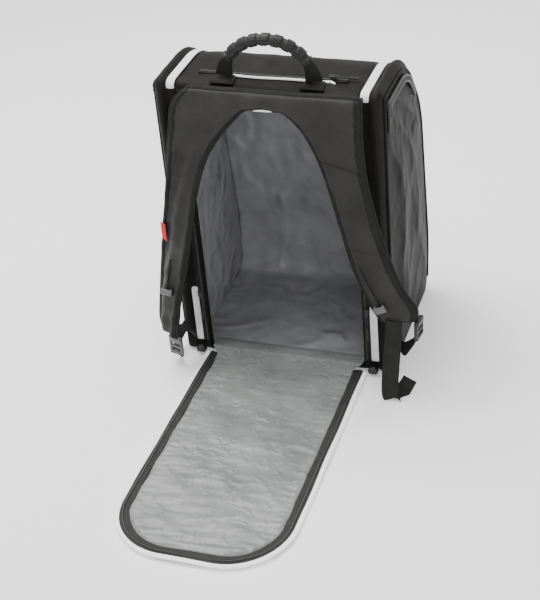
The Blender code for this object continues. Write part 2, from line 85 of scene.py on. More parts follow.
for label, place, aim, size, power in (
    ("overhead", (-0.6, 0.1, 2.2), (0.0, -0.1, 0.2), 1.5, 74.0),
    ("front", (1.3, -2.3, 1.6), (0.0, -0.2, 0.2), 0.9, 16.0),
    ("right", (1.2, 1.9, 1.5), (0.15, 0.0, 0.25), 0.7, 9.0),
):
    lamp = bpy.data.lights.new(label, "AREA")
    lamp.size = size
    lamp.energy = power
    light = bpy.data.objects.new(label, lamp)
    light.location = place
    light.rotation_euler = (Vector(aim) - Vector(place)).to_track_quat("-Z", "Y").to_euler()
    bpy.context.scene.collection.objects.link(light)

FLOOR_HALF = 9.0
floor_mesh = bpy.data.meshes.new("floor")
corners = [(x * FLOOR_HALF, y * FLOOR_HALF, 0) for x, y in ((-1, -1), (1, -1), (1, 1), (-1, 1))]
floor_mesh.from_pydata(corners, [], [(0, 1, 2, 3)])
floor = bpy.data.objects.new("floor", floor_mesh)
bpy.context.scene.collection.objects.link(floor)
paper = bpy.data.materials.new("paper")
paper.use_nodes = True
for socket, value in (
    ("Base Color", (0.90, 0.90, 0.91, 1)),
    ("Roughness", 0.9),
    ("Emission Color", (1.0, 1.0, 1.0, 1)),
    ("Emission Strength", 0.25),
):
    paper.node_tree.nodes["Principled BSDF"].inputs[socket].default_value = value
floor.data.materials.append(paper)

# ------------------------------------------------------------------ body cloth
# The body is one wrap of black polyester over front, top, back and base, between two side panels.
# It is a line round the side view carried across the bag, with a raised roll at each side.

body_low, body_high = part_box("outer_shell")
HALF = body_high.x
FRONT = body_low.y
DEEP = body_high.y - body_low.y
TALL = body_high.z
SIDES = (("left", -1), ("right", 1))
CLOTH = 0.0016
# The door's opening, and the edges of the front ring round it and of the white bands beside it
OPEN_HALF = 0.1285
OPEN_TOP = 0.4530
OPEN_CORNER = 0.0950
SILL = 0.0120
RING_HALF = 0.1375
BAND_IN, BAND_OUT = 0.1378, 0.1502

# Side view, from the front bottom corner over the top to the back: y from the front, z, radius
SIDE_VIEW = [
    (0.0, 0.0, 0.012),
    (0.0, TALL, 0.014),
    (0.135, TALL, 0.100),
    (0.225, 0.365, 0.180),
    (DEEP, 0.100, 0.250),
    (DEEP - 0.012, 0.0, 0.030),
]


def rounded_line(corners, spacing):
    """A closed line through corners of (u, v, radius): each is an arc tangent to both its sides.

    The points are then spaced evenly by length, starting half way along the last side."""
    spots = []
    count = len(corners)
    for index, (u, v, radius) in enumerate(corners):
        here = np.array((u, v))
        back = np.array(corners[index - 1][:2]) - here
        onward = np.array(corners[(index + 1) % count][:2]) - here
        back, onward = back / np.linalg.norm(back), onward / np.linalg.norm(onward)
        half = math.acos(np.clip(back @ onward, -1, 1)) / 2
        middle = (back + onward) / np.linalg.norm(back + onward)
        centre = here + middle * radius / math.sin(half)
        reach = math.pi / 2 - half
        turn = np.linspace(-reach, reach, 17)[:, None]
        cross = np.array((-middle[1], middle[0]))
        if cross @ onward < 0:
            cross = -cross
        spots.append(centre - middle * radius * np.cos(turn) + cross * radius * np.sin(turn))
    line = np.concatenate(spots)
    line = np.concatenate([[(line[0] + line[-1]) / 2], line, [(line[0] + line[-1]) / 2]])
    return evenly(line, spacing)


def lengths(line):
    """How far along a line each of its points is."""
    return np.concatenate([[0], np.cumsum(np.linalg.norm(np.diff(line, axis=0), axis=1))])


def read_at(line, run, want):
    """Points read off a line at the wanted values of run, which says where each of its own points is."""
    return np.stack([np.interp(want, run, line[:, axis]) for axis in range(line.shape[1])], -1)


def evenly(line, spacing):
    """A line's points spaced evenly by length, so that each is about spacing from the next."""
    run = lengths(line)
    want = np.linspace(0, run[-1], max(int(round(run[-1] / spacing)), 2) + 1)
    return read_at(line, run, want)


def arch_side(half, top, corner, steps):
    """The right-hand corner of an arch as points of a quarter circle, from its side to its top."""
    turn = np.linspace(0, math.pi / 2, steps)
    return np.stack([half - corner + corner * np.cos(turn), top - corner + corner * np.sin(turn)], -1)


def arch(half, top, corner, low, spacing):
    """An arch open at its base: from low on the right, over the top, to low on the left."""
    right = arch_side(half, top, corner, 40)
    return evenly(np.concatenate([[(half, low)], right, (right * (-1, 1))[::-1], [(-half, low)]]), spacing)


def at_side(x, line):
    """A line of (y, z) set at one distance from the bag's middle."""
    return np.column_stack([np.full(len(line), x), line])


def carried(x, line):
    """A line of (y, z) carried across the bag, as one row of points for each point of the line."""
    return np.stack(np.broadcast_arrays(x, line[:, :1], line[:, 1:]), -1)


def outward(line):
    """Unit normals in the plane of a closed line that runs clockwise, left of its travel."""
    along = np.gradient(np.concatenate([line[-2:-1], line, line[1:2]]), axis=0)[1:-1]
    along /= np.linalg.norm(along, axis=1, keepdims=True)
    return np.stack([-along[:, 1], along[:, 0]], -1)


def grid(points, wrap=False, cap=False, uv=None):
    """A surface from rows by columns of points, as (points, quads, corner uvs, end triangles).

    wrap joins the last column to the first, and cap closes both ends of such a tube."""
    rows, columns = points.shape[:2]
    row, column = np.meshgrid(np.arange(rows - 1), np.arange(columns - (not wrap)), indexing="ij")
    onward = (column + 1) % columns
    first, second = row * columns, (row + 1) * columns
    quads = np.stack([first + column, first + onward, second + onward, second + column], -1)
    if uv is None:
        uv = np.zeros((rows, columns + wrap, 2))
    corners = np.stack(
        [uv[row, column], uv[row, column + 1], uv[row + 1, column + 1], uv[row + 1, column]], -2
    )
    flat = points.reshape(-1, 3)
    ends = np.zeros((0, 3), int)
    if cap:
        ring = np.arange(columns)
        following = (ring + 1) % columns
        last = (rows - 1) * columns
        total = len(flat)
        near = np.stack([following, ring, np.full(columns, total)], -1)
        far = np.stack([last + ring, last + following, np.full(columns, total + 1)], -1)
        flat = np.concatenate([flat, [points[0].mean(0)], [points[-1].mean(0)]])
        ends = np.concatenate([near, far])
    return flat, quads.reshape(-1, 4), corners.reshape(-1, 4, 2), ends


def build(name, shapes, finish, inside=None, crisp=None, merge=0.0):
    """One object from a list of grids. Each is turned to face away from inside, or from its middle.

    crisp is the angle in degrees past which an edge stays sharp; merge welds points that near."""
    points, faces, uvs = [], [], []
    offset = 0
    for spots, quads, corners, ends in shapes:
        centre = spots.mean(0) if inside is None else np.array(inside)
        a, b, c, d = (spots[quads[:, corner]] - centre for corner in range(4))
        volume = np.einsum("ij,ij->", a, np.cross(b, c)) + np.einsum("ij,ij->", a, np.cross(c, d))
        if volume < 0:
            quads, corners, ends = quads[:, ::-1], corners[:, ::-1], ends[:, ::-1]
        points.append(spots)
        faces += (quads + offset).tolist() + (ends + offset).tolist()
        uvs.append(corners.reshape(-1, 2))
        uvs.append(np.zeros((ends.size, 2)))
        offset += len(spots)
    mesh = bpy.data.meshes.new(name)
    mesh.from_pydata(np.concatenate(points).tolist(), [], faces)
    layer = mesh.uv_layers.new(name="weave")
    layer.data.foreach_set("uv", np.concatenate(uvs).astype(np.float32).ravel())
    made = bpy.data.objects.new(name, mesh)
    bpy.context.scene.collection.objects.link(made)
    mesh.materials.append(finish)
    if merge:
        weld = made.modifiers.new("weld", "WELD")
        weld.merge_threshold = merge
    mesh.shade_smooth()
    if crisp is not None:
        mesh.set_sharp_from_angle(angle=math.radians(crisp))
    return made


def fit(made, body, slot, *nodes):
    """Fits a piece to the frame: the body it moves with, and the nodes it stands for, which it hides. slot,
    its finish, is not used.
    """
    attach(made, body)
    if nodes:
        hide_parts(*nodes)


def thicken(made, thick, side=-1.0):
    """Gives open cloth its thickness, under the face that shows."""
    wall = made.modifiers.new("thickness", "SOLIDIFY")
    wall.thickness = thick
    wall.offset = side


WAVES = 9


def folds(points, seed, size, height, stretch=(1.0, 1.0, 1.0)):
    """Height of soft creases at each point, from 0 to height.

    It is the mean of sharpened sine ridges, 1 - |sin|, in random directions and about size apart."""
    random = np.random.default_rng(seed)
    total = np.zeros(points.shape[:-1])
    for _ in range(WAVES):
        way = random.normal(size=3) / np.array(stretch)
        way *= math.pi / size / np.linalg.norm(way) * random.uniform(0.5, 1.4)
        sway = random.normal(size=3) * 0.35 * math.pi / size
        bend = 0.8 * np.sin(points @ sway + random.uniform(0, 6))
        total += 1 - np.abs(np.sin(points @ way + bend + random.uniform(0, 6)))
    return height * total / WAVES


def window(values, low, high, soft):
    """1 between low and high, falling smoothly to 0 over soft outside them."""
    rising = np.clip((values - low) / soft + 1, 0, 1)
    falling = np.clip((high - values) / soft + 1, 0, 1)
    return rising * rising * (3 - 2 * rising) * falling * falling * (3 - 2 * falling)


def plumpness(distance, reach):
    """How full a pad is at a distance from its sewn edge: a quarter circle over its reach."""
    return np.sqrt(np.clip(1 - (1 - np.clip(distance / reach, 0, 1)) ** 2, 0, 1))


def ridge(values, place, soft):
    """1 where a value is at a place, falling smoothly to 0 over about soft on both sides."""
    return np.exp(-(((values - place) / soft) ** 2))


def shader(name, colour, roughness):
    """A new material, its node tree, its Principled shader and its object coordinates."""
    made = bpy.data.materials.new(name)
    made.use_nodes = True
    tree = made.node_tree
    surface = tree.nodes["Principled BSDF"]
    surface.inputs["Base Color"].default_value = (*colour, 1.0)
    surface.inputs["Roughness"].default_value = roughness
    where = tree.nodes.new("ShaderNodeTexCoord")
    return made, tree, surface, where


def add(tree, kind, links, **settings):
    """A node with its sockets linked or set: links maps each socket's name to a socket or a value."""
    node = tree.nodes.new(kind)
    for key, value in settings.items():
        setattr(node, key, value)
    for key, value in links.items():
        if isinstance(value, bpy.types.NodeSocket):
            tree.links.new(value, node.inputs[key])
        else:
            node.inputs[key].default_value = value
    return node


def tinted(tree, spots, dark, light, low=0.3, high=0.7):
    """Two colours mixed by a value that runs from low to high."""
    ramp = add(tree, "ShaderNodeValToRGB", {"Fac": spots})
    ramp.color_ramp.elements[0].position = low
    ramp.color_ramp.elements[1].position = high
    ramp.color_ramp.elements[0].color = (*dark, 1.0)
    ramp.color_ramp.elements[1].color = (*light, 1.0)
    return ramp.outputs["Color"]


def noise(tree, place, scale, detail, **sockets):
    """Soft random patches, scale of them to a metre."""
    links = {"Vector": place, "Scale": scale, "Detail": detail, **sockets}
    return add(tree, "ShaderNodeTexNoise", links).outputs["Fac"]


def bands(tree, place, pitch, way, distortion):
    """Bands one pitch apart along X, Y or Z. A wave repeats every 2 pi / (20 scale) of its coordinate."""
    links = {"Vector": place, "Scale": math.pi / 10 / pitch, "Distortion": distortion}
    return add(tree, "ShaderNodeTexWave", links, bands_direction=way).outputs["Fac"]


def combined(tree, operation, first, second):
    """Two values added or multiplied."""
    return add(tree, "ShaderNodeMath", {0: first, 1: second}, operation=operation).outputs["Value"]


def relief(tree, surface, height, distance, strength, **sockets):
    """A bump on a surface: a height from 0 to 1 that stands for distance."""
    links = {"Height": height, "Distance": distance, "Strength": strength, **sockets}
    normal = add(tree, "ShaderNodeBump", links).outputs["Normal"]
    tree.links.new(normal, surface.inputs["Normal"])
    return normal


def cloth(name, dark, light, roughness, thread, depth, crease=0.0030, crinkle=11.0, gloss=0.15, coat=0.0):
    """Woven cloth, matt or with a thin coat, whose colour fades in patches between dark and light.

    Its weave is crossed bands a thread apart and depth high, and its creases are crease high."""
    made, tree, surface, where = shader(name, light, roughness)
    turned = add(tree, "ShaderNodeMapping", {"Vector": where.outputs["Object"]})
    turned.inputs["Rotation"].default_value = (0.0, 0.0, math.radians(45))
    turned = turned.outputs["Vector"]
    faded = tinted(tree, noise(tree, turned, 14.0, 7.0, Roughness=0.62), dark, light)
    tree.links.new(faded, surface.inputs["Base Color"])
    weave = combined(tree, "ADD", *(bands(tree, turned, thread, way, 0.6) for way in "XZ"))
    wrinkle = add(
        tree,
        "ShaderNodeTexNoise",
        {"Vector": turned, "Scale": crinkle, "Detail": 3.0, "Roughness": 0.45, "Distortion": 0.6},
        noise_type="RIDGED_MULTIFRACTAL",
    ).outputs["Fac"]
    threads = relief(tree, surface, weave, depth, 0.6)
    relief(tree, surface, wrinkle, crease, 0.9, Normal=threads)
    surface.inputs["Coat Weight"].default_value = coat
    surface.inputs["Coat Roughness"].default_value = 0.35
    surface.inputs["Specular IOR Level"].default_value = gloss
    return made


BLACK_CLOTH = cloth(
    "black_cloth", (0.0045, 0.0041, 0.0036), (0.0110, 0.0102, 0.0088), roughness=0.54,
    thread=0.0011, depth=0.0002, crease=0.0100, crinkle=10.0, gloss=0.11,
)

side_line = rounded_line([(FRONT + y, z, radius) for y, z, radius in SIDE_VIEW], 0.005)
side_out = outward(side_line)

# Across the bag: distance from the middle, and how far the cloth lies inside the plain side view.
# Each side has a low where the white band runs, then a roll that ends at the side seam.
ACROSS = np.array(
    [
        (0.0000, 0.0000),
        (0.0900, 0.0000),
        (0.1250, 0.0004),
        (0.1375, 0.0020),
        (0.1440, 0.0030),
        (0.1505, 0.0022),
        (0.1535, -0.0015),
        (0.1590, -0.0045),
        (0.1645, -0.0030),
        (0.1690, 0.0025),
        (0.1712, 0.0090),
    ]
)
SEAM_X, SEAM_IN = ACROSS[-1]


def across_bag(step):
    """The cross section from one side seam to the other, as distances from the middle and insets."""
    middle = np.arange(0.0, RING_HALF, step)
    reach = np.linspace(RING_HALF, SEAM_X, 14)
    right = np.concatenate([middle, reach])
    inset = np.interp(right, ACROSS[:, 0], ACROSS[:, 1])
    smooth = inset.copy()
    smooth[1:-1] = (inset[:-2] + 2 * inset[1:-1] + inset[2:]) / 4
    return np.concatenate([-right[:0:-1], right]), np.concatenate([smooth[:0:-1], smooth])


def body_surface(line, out, x, inset):
    """Points of the body: the side view at each x, moved in or out by the inset of the cross section.

    The roll stands proud on top, less on the back, and hardly at all on the front and base."""
    proud = 0.25 + 0.75 * window(line[:, 1], 0.30, 1.0, 0.22)[:, None]
    moved = np.where(inset[None, :] < 0, inset[None, :] * proud, inset[None, :])
    y = line[:, 0, None] - out[:, 0, None] * moved
    z = line[:, 1, None] - out[:, 1, None] * moved
    return np.stack([np.broadcast_to(x, y.shape), y, z], -1)


def rumpled(points, out_y, out_z, seed, amount):
    """Cloth with soft creases, and a top that sags between its edges."""
    crease = folds(points, seed, 0.055, amount, (1.0, 1.0, 1.6)) - amount * 0.45
    top = window(points[..., 2], TALL - 0.02, 1.0, 0.02)
    between = window(points[..., 1], FRONT + 0.03, FRONT + 0.09, 0.05)
    sag = 0.0035 * top * np.cos(points[..., 0] / HALF * math.pi / 2) * between
    calm = window(points[..., 2], 0.03, 1.0, 0.03)
    moved = points.copy()
    moved[..., 1] += out_y * crease * calm
    moved[..., 2] += out_z * crease * calm - sag
    return moved


x_across, x_inset = across_bag(0.0055)
wrap = body_surface(side_line, side_out, x_across, x_inset)
at_front = np.abs(wrap[..., 1] - FRONT) < 0.0004
wrap = rumpled(wrap, side_out[:, 0, None], side_out[:, 1, None], 4, 0.0035)
wrap[..., 1] = np.where(at_front, FRONT, wrap[..., 1])
wrap[..., 2] = np.maximum(wrap[..., 2], 0.0006)

# The front is a ring of cloth between the edge of this rectangle and the arched opening
front_rows = np.flatnonzero(at_front[:, len(x_across) // 2] & (side_line[:, 1] > 0.009))
row_low, row_high = front_rows[0], front_rows[-1]
column_low = int(np.argmin(np.abs(x_across + RING_HALF)))
column_high = int(np.argmin(np.abs(x_across - RING_HALF)))


def arch_loop(half, top, corner, low, count):
    """Points of a door outline: along the sill, up the right side, round the arch and down the left.

    They are spread evenly by length, from the sill's left end and back to it."""
    right = arch_side(half, top, corner, 25)
    line = np.concatenate([[(-half, low), (half, low)], right, right[::-1] * (-1, 1), [(-half, low)]])
    run = lengths(line)
    return read_at(line, run, np.linspace(0, run[-1], count))


edge_ring = np.concatenate(
    [
        wrap[row_low, column_low : column_high + 1],
        wrap[row_low + 1 : row_high + 1, column_high],
        wrap[row_high, column_low:column_high][::-1],
        wrap[row_low:row_high, column_low][::-1],
    ]
)
edge_run = lengths(edge_ring)
LOOP_POINTS = 800
doorway = arch_loop(OPEN_HALF, OPEN_TOP, OPEN_CORNER, SILL, LOOP_POINTS)
doorway = read_at(doorway, np.linspace(0, 1, LOOP_POINTS), edge_run / edge_run[-1])
share = np.linspace(0, 1, 9)[:, None, None]
door_edge = np.stack([doorway[:, 0], np.full(len(doorway), FRONT), doorway[:, 1]], -1)
front_ring = edge_ring[None] * (1 - share) + door_edge[None] * share
turned_in = door_edge[None] + np.array([0, 1, 0]) * np.array([0.002, 0.006, 0.010])[:, None, None]
front_ring = np.concatenate([front_ring, turned_in])

wrap_grid = grid(wrap)
columns = len(x_across)
quad_row = wrap_grid[1][:, 0] // columns
quad_column = wrap_grid[1][:, 0] % columns
outside = (quad_row < row_low) | (quad_row >= row_high)
outside |= (quad_column < column_low) | (quad_column >= column_high)
wrap_grid = (wrap_grid[0], wrap_grid[1][outside], wrap_grid[2][outside], wrap_grid[3])
body_centre = (0.0, 0.0, TALL / 2)
body_cloth = build("body_cloth", [wrap_grid, grid(front_ring)], BLACK_CLOTH, body_centre, merge=0.00005)
thicken(body_cloth, CLOTH)
fit(body_cloth, "root", "black_fabric", "outer_shell")

# ------------------------------------------------------------------ side panels
# Each side is a coated, slightly shiny polyester panel, sewn to the wrap all round. It hangs in
# long upright creases from the roll at the top.

COATED = cloth(
    "coated_cloth", (0.0085, 0.0084, 0.0080), (0.0200, 0.0196, 0.0187), roughness=0.40,
    thread=0.0014, depth=0.00008, crease=0.0080, crinkle=9.0, gloss=0.017,
)


def between_seams(inset, rows, columns):
    """The side view as rows of points from its front edge to its back edge, spaced like a cosine."""
    inner = side_line - side_out * inset
    top, base = inner[:, 1].max(), inner[:, 1].min()
    heights = base + (top - base) * (1 - np.cos(np.linspace(0.04, 0.985, rows) * math.pi)) / 2
    order = np.roll(inner[:-1], -int(np.argmin(inner[:-1, 1])), axis=0)
    summit = int(np.argmax(order[:, 1]))
    one, two = order[: summit + 1], order[summit:][::-1]
    if one[:, 0].mean() > two[:, 0].mean():
        one, two = two, one
    near = np.interp(heights, one[:, 1], one[:, 0])
    far = np.interp(heights, two[:, 1], two[:, 0])
    share = np.linspace(0, 1, columns)
    y = near[:, None] * (1 - share) + far[:, None] * share
    return y, np.broadcast_to(heights[:, None], y.shape), share


for side, sign in SIDES:
    y, z, share = between_seams(SEAM_IN, 150, 90)
    up = (z - z.min()) / (z.max() - z.min())
    edge = np.minimum(np.minimum(share, 1 - share)[None, :] * 2, np.minimum(up, 1 - up) * 2.2).clip(0, 1)
    dome = 1 - (1 - edge) ** 3
    spots = np.stack([np.full_like(y, sign * SEAM_X), y, z], -1)
    # Creases fan down and back from the front top corner, where the panel is pulled tight
    lean = (y - FRONT + 0.10) / (0.62 - z)
    fan = 1 - np.abs(np.sin(lean * 13.0 + 1.5 * np.sin(z * 14) + 0.5)) ** 0.8
    crumple = folds(spots, 11, 0.085, 0.0075, (1, 0.45, 1.6)) + folds(spots, 12, 0.035, 0.0024, (1, 0.6, 2.0))
    bulge = dome * (0.0010 + crumple + 0.0030 * fan * window(z, 0.08, 0.40, 0.08))
    spots[..., 0] += sign * bulge
    panel = build(f"{side}_side_panel_cloth", [grid(spots)], COATED, body_centre)
    thicken(panel, 0.0012)
    fit(panel, "root", "coated_fabric", f"{side}_side_panel")

# ------------------------------------------------------------------ white bands
# A woven white ribbon runs over the bag on each side of the top panel, from the base of the
# front, over the top and down the back. It is sewn down along both edges.


def spline(points, count):
    """A smooth curve through points: Catmull-Rom pieces, each a cubic of its four nearest points."""
    spots = np.array(points, float)
    padded = np.concatenate([[2 * spots[0] - spots[1]], spots, [2 * spots[-1] - spots[-2]]])
    place = np.linspace(0, len(spots) - 1, count)
    piece = np.minimum(place.astype(int), len(spots) - 2)
    t = (place - piece).reshape(-1, *[1] * (spots.ndim - 1))
    a, b, c, d = (padded[piece + step] for step in range(4))
    return 0.5 * (2 * b + (c - a) * t + (2 * a - 5 * b + 4 * c - d) * t**2 + (3 * b - a - 3 * c + d) * t**3)


def unit(vectors):
    """The same directions, each one long."""
    return vectors / np.maximum(np.linalg.norm(vectors, axis=-1, keepdims=True), 1e-9)


def beside(path, normal):
    """The direction across a path at each of its points, square to it and to a normal."""
    return np.cross(unit(np.gradient(path, axis=0)), normal)


def swept(path, section, across, cap=True):
    """A section carried along a path, as a grid that is closed round it.

    section is (width, height) offsets, the same all along or one set for each point. Its width
    lies along across made square to the path, and its height along path cross width."""
    along = unit(np.gradient(path, axis=0))
    across = np.broadcast_to(np.array(across, float), path.shape)
    width = unit(across - along * np.sum(across * along, axis=1, keepdims=True))
    height = np.cross(along, width)
    section = np.broadcast_to(section, (len(path), *np.shape(section)[-2:]))
    points = path[:, None] + width[:, None] * section[..., :1] + height[:, None] * section[..., 1:]
    run = lengths(path)
    closed = np.concatenate([section, section[:, :1]], axis=1)
    uv = np.stack([closed[..., 0], np.broadcast_to(run[:, None], closed.shape[:2])], -1)
    return grid(points, wrap=True, cap=cap, uv=uv)


def oval(half_width, half_height, power=2.0, count=16):
    """A closed oval of (width, height); a higher power makes it squarer, as in a superellipse."""
    turn = np.linspace(0, 2 * math.pi, count, endpoint=False)
    cos, sin = np.cos(turn), np.sin(turn)
    lean = 2 / power
    width = half_width * np.sign(cos) * np.abs(cos) ** lean
    height = half_height * np.sign(sin) * np.abs(sin) ** lean
    return np.stack([width, height], -1)


def woven(name, dark, light, roughness, rib, depth=0.0004):
    """Webbing or ribbon: ribs across it a rib apart, and finer threads along it, both on its own UVs."""
    made, tree, surface, where = shader(name, light, roughness)
    ribs = bands(tree, where.outputs["UV"], rib, "Y", 0.4)
    threads = bands(tree, where.outputs["UV"], rib * 0.7, "X", 0.4)
    both = combined(tree, "MULTIPLY", ribs, threads)
    mixed = combined(tree, "ADD", both, noise(tree, where.outputs["Object"], 60.0, 4.0))
    tree.links.new(tinted(tree, mixed, dark, light, 0.25, 1.2), surface.inputs["Base Color"])
    relief(tree, surface, both, depth, 0.8)
    surface.inputs["Specular IOR Level"].default_value = 0.15
    return made


WHITE_RIBBON = woven("white_ribbon", (0.66, 0.67, 0.68), (0.84, 0.85, 0.85), 0.55, 0.0012, 0.0001)


def over_body(line, out, inset, low_front, low_back):
    """The part of the side view from low_front on the front, over the top, to low_back on the back."""
    moved = line - out * inset
    top = int(np.argmax(moved[:, 1]))
    going = np.arange(len(moved))
    rising = (going <= top) & (moved[:, 1] > low_front) & (moved[:, 0] < FRONT + 0.13)
    falling = (going > top) & (moved[:, 1] > low_back)
    return moved[rising | falling]


for side, sign in SIDES:
    middle = (BAND_IN + BAND_OUT) / 2
    run = over_body(side_line, side_out, 0.0012, 0.022, 0.022)
    path = at_side(sign * middle, run)
    # On the front it goes under the black cloth, all but its lower end
    path[:, 1] += 0.0045 * window(run[:, 1], 0.125, TALL - 0.016, 0.008) * (run[:, 0] < FRONT + 0.004)
    ribbon = oval((BAND_OUT - BAND_IN) / 2, 0.0011, 5.0, 20)
    band = build(f"{side}_white_band", [swept(path, ribbon, (1, 0, 0))], WHITE_RIBBON)
    fit(band, "root", "white_trim", f"{side}_trim_band")

# ------------------------------------------------------------------ side seams
# The wrap and the side panel meet in a cord-filled piping of black tape, all round the side.

BLACK_TAPE = woven("black_tape", (0.006, 0.006, 0.006), (0.017, 0.0165, 0.016), 0.70, 0.0012, 0.0002)
for side, sign in SIDES:
    run = over_body(side_line, side_out, SEAM_IN, 0.026, 0.026)
    path = at_side(sign * (SEAM_X + 0.0004), run)
    piping = build(f"{side}_seam_piping", [swept(path, oval(0.0019, 0.0019, 2.0, 10), (1, 0, 0))], BLACK_TAPE)
    fit(piping, "root", "black_fabric", f"{side}_side_piping")

# ------------------------------------------------------------------ lining
# Inside hangs a bag of thin silvery cloth, open at the front. Its floor lies on the base board,
# and its walls crumple because nothing holds them out.

SILVER = cloth(
    "silver_cloth", (0.150, 0.158, 0.154), (0.260, 0.272, 0.262), roughness=0.36,
    thread=0.0009, depth=0.00008, crease=0.0022, crinkle=70.0, gloss=0.5, coat=0.1,
)
# The walls inside are the same silver cloth, in a second, bluer copy: painted shade colour for the inside of
# the bag.
SILVER_COOL_SHADE = cloth(
    "silver_cloth_cool_shade", (0.20, 0.20, 0.215), (0.33, 0.33, 0.35), roughness=0.38,
    thread=0.0009, depth=0.00008, crease=0.0110, crinkle=20.0, gloss=0.5,
)
LINING_IN = 0.0098
LINING_HALF = HALF - 0.0105
inner_line = (side_line - side_out * LINING_IN)[:-1]
inner_line = inner_line[inner_line[:, 0] > FRONT + LINING_IN + 0.0012]
start = int(np.argmin(inner_line[:, 0] + inner_line[:, 1]))
inner_line = evenly(np.roll(inner_line, -start - 1, axis=0), 0.005)
spots = carried(np.linspace(-LINING_HALF, LINING_HALF, 64), inner_line)
to_centre = np.array((0.0, 0.0, TALL * 0.5)) - spots
to_centre[..., 0] = 0
crease = folds(spots, 21, 0.035, 0.0065, (1.0, 1.0, 1.8)) + folds(spots, 22, 0.016, 0.0035)
crease *= window(spots[..., 2], 0.016, 1.0, 0.01)
spots = spots + unit(to_centre) * crease[..., None]
walls = [grid(spots)]
for sign in (-1, 1):
    y, z, share = between_seams(LINING_IN, 110, 60)
    y = np.maximum(y, FRONT + 0.0098)
    wall = np.stack([np.full_like(y, sign * LINING_HALF), y, z], -1)
    loose = folds(wall, 23, 0.035, 0.0065, (1, 1, 2.0)) + folds(wall, 24, 0.016, 0.0035)
    wall[..., 0] -= sign * loose * np.sin(share * math.pi) ** 0.5
    walls.append(grid(wall))
lining = build("lining_cloth", walls, SILVER_COOL_SHADE, body_centre)
thicken(lining, 0.0006, 1.0)
fit(lining, "root", "silver_lining", "inner_lining")

# An empty pocket bag of the same black cloth lies flat under the top, over the lining
pocket_low, pocket_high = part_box("top_pocket_bag")
u, v = np.meshgrid(np.linspace(-1, 1, 40), np.linspace(-1, 1, 20), indexing="ij")
crown = np.sqrt(np.clip((1 - u**6) * (1 - v**6), 0, 1))
middle, reach = (pocket_low + pocket_high) / 2, (pocket_high - pocket_low) / 2
leaves = []
for face in (-1, 1):
    z = middle.z + face * reach.z * 0.9 * crown
    leaves.append(grid(np.stack([middle.x + u * reach.x, middle.y + v * reach.y, z], -1)))
pocket = build("pocket_bag_cloth", leaves, BLACK_CLOTH, tuple(middle), merge=0.00001)
fit(pocket, "root", "black_fabric", "top_pocket_bag")

# The board under the lining's floor is grey pressed fibre
fibre, tree, surface, where = shader("fibre_board", (0.12, 0.12, 0.12), 0.75)
grain = noise(tree, where.outputs["Object"], 300.0, 3.0)
tree.links.new(tinted(tree, grain, (0.09, 0.09, 0.09), (0.15, 0.15, 0.14)), surface.inputs["Base Color"])
board_finish = frame["nodes"]["base_board"].data.materials
board_finish.clear()
board_finish.append(fibre)

# ------------------------------------------------------------------ door panel
# The whole back of the bag is a panel that unzips and lies on the floor. From the outside in, it
# is black cloth, a white piping, black zip tape with its coil, and a thin padded silver lining.

hinge = next(joint for joint in frame["joints"] if joint["name"] == "flap_hinge")
HINGE_Y, HINGE_Z = hinge["pos_m"][1:]
panel_low, panel_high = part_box("flap_panel")
DOOR_HALF = panel_high.x
DOOR_LONG = HINGE_Y - panel_low.y
DOOR_CORNER = 0.095
PIPING_WIDE = 0.0066
TAPE_WIDE = 0.0155


def door_size(inset):
    """Half width, length and corner radius of the door's outline at an inset."""
    return DOOR_HALF - inset, DOOR_LONG - inset, DOOR_CORNER - inset


def door_rows(inset, near, rows, columns):
    """Rows of points across the door, from near its hinge to its round tip: x, distance, share."""
    half, long, corner = door_size(inset)
    tip = arch_side(half, long, corner, rows // 3)
    straight = np.linspace(near, long - corner, rows - len(tip), endpoint=False)
    away = np.concatenate([straight, tip[:, 1]])
    wide = np.concatenate([np.full(len(straight), half), tip[:, 0]])
    share = np.linspace(-1, 1, columns)
    x = wide[:, None] * share[None, :]
    return x, np.broadcast_to(away[:, None], x.shape), share


def door_edge_path(inset, near, z, spacing):
    """The door's outline at an inset, from the hinge up one side, round the tip and back."""
    line = arch(*door_size(inset), near, spacing)
    return np.stack([line[:, 0], HINGE_Y - line[:, 1], np.full(len(line), z)], -1)


def edge_distance(x, away, inset):
    """How far each point of the door is inside its outline at an inset, the hinge side left out."""
    half, long, corner = door_size(inset)
    over_x = np.maximum(np.abs(x) - (half - corner), 0)
    over_y = np.maximum(away - (long - corner), 0)
    before_corner = np.minimum(half - corner - np.abs(x), long - corner - away)
    return corner - np.hypot(over_x, over_y) + np.where(over_x + over_y > 0, 0, before_corner)


x, away, share = door_rows(0.001, 0.001, 120, 60)
outer = np.stack([x, HINGE_Y - away, np.full_like(x, HINGE_Z + 0.0008)], -1)
door_cloth = build("door_cloth", [grid(outer)], BLACK_CLOTH, (0, HINGE_Y, 1.0))
thicken(door_cloth, 0.0008, 1.0)
fit(door_cloth, "flap", "black_fabric", "flap_panel")

GLOWING_WHITE_PIPING = woven("white_piping", (0.88, 0.88, 0.87), (0.97, 0.97, 0.96), 0.50, 0.0010, 0.0001)
# The piping is given a slight glow: painted light that keeps it brighter than the floor, though it is no
# lamp.
piping_glow = GLOWING_WHITE_PIPING.node_tree.nodes["Principled BSDF"].inputs
piping_glow["Emission Color"].default_value = (1.0, 1.0, 1.0, 1.0)
piping_glow["Emission Strength"].default_value = 0.30
path = door_edge_path(PIPING_WIDE / 2 - 0.002, 0.001, HINGE_Z + 0.0021, 0.004)
path[:, 2] += 0.0005 * np.sin(np.linspace(0, 40, len(path)))
piping = swept(path, oval(PIPING_WIDE / 2, 0.0023, 2.6, 14), beside(path, (0, 0, 1)))
fit(build("door_piping", [piping], GLOWING_WHITE_PIPING), "flap", "white_trim", "flap_piping")

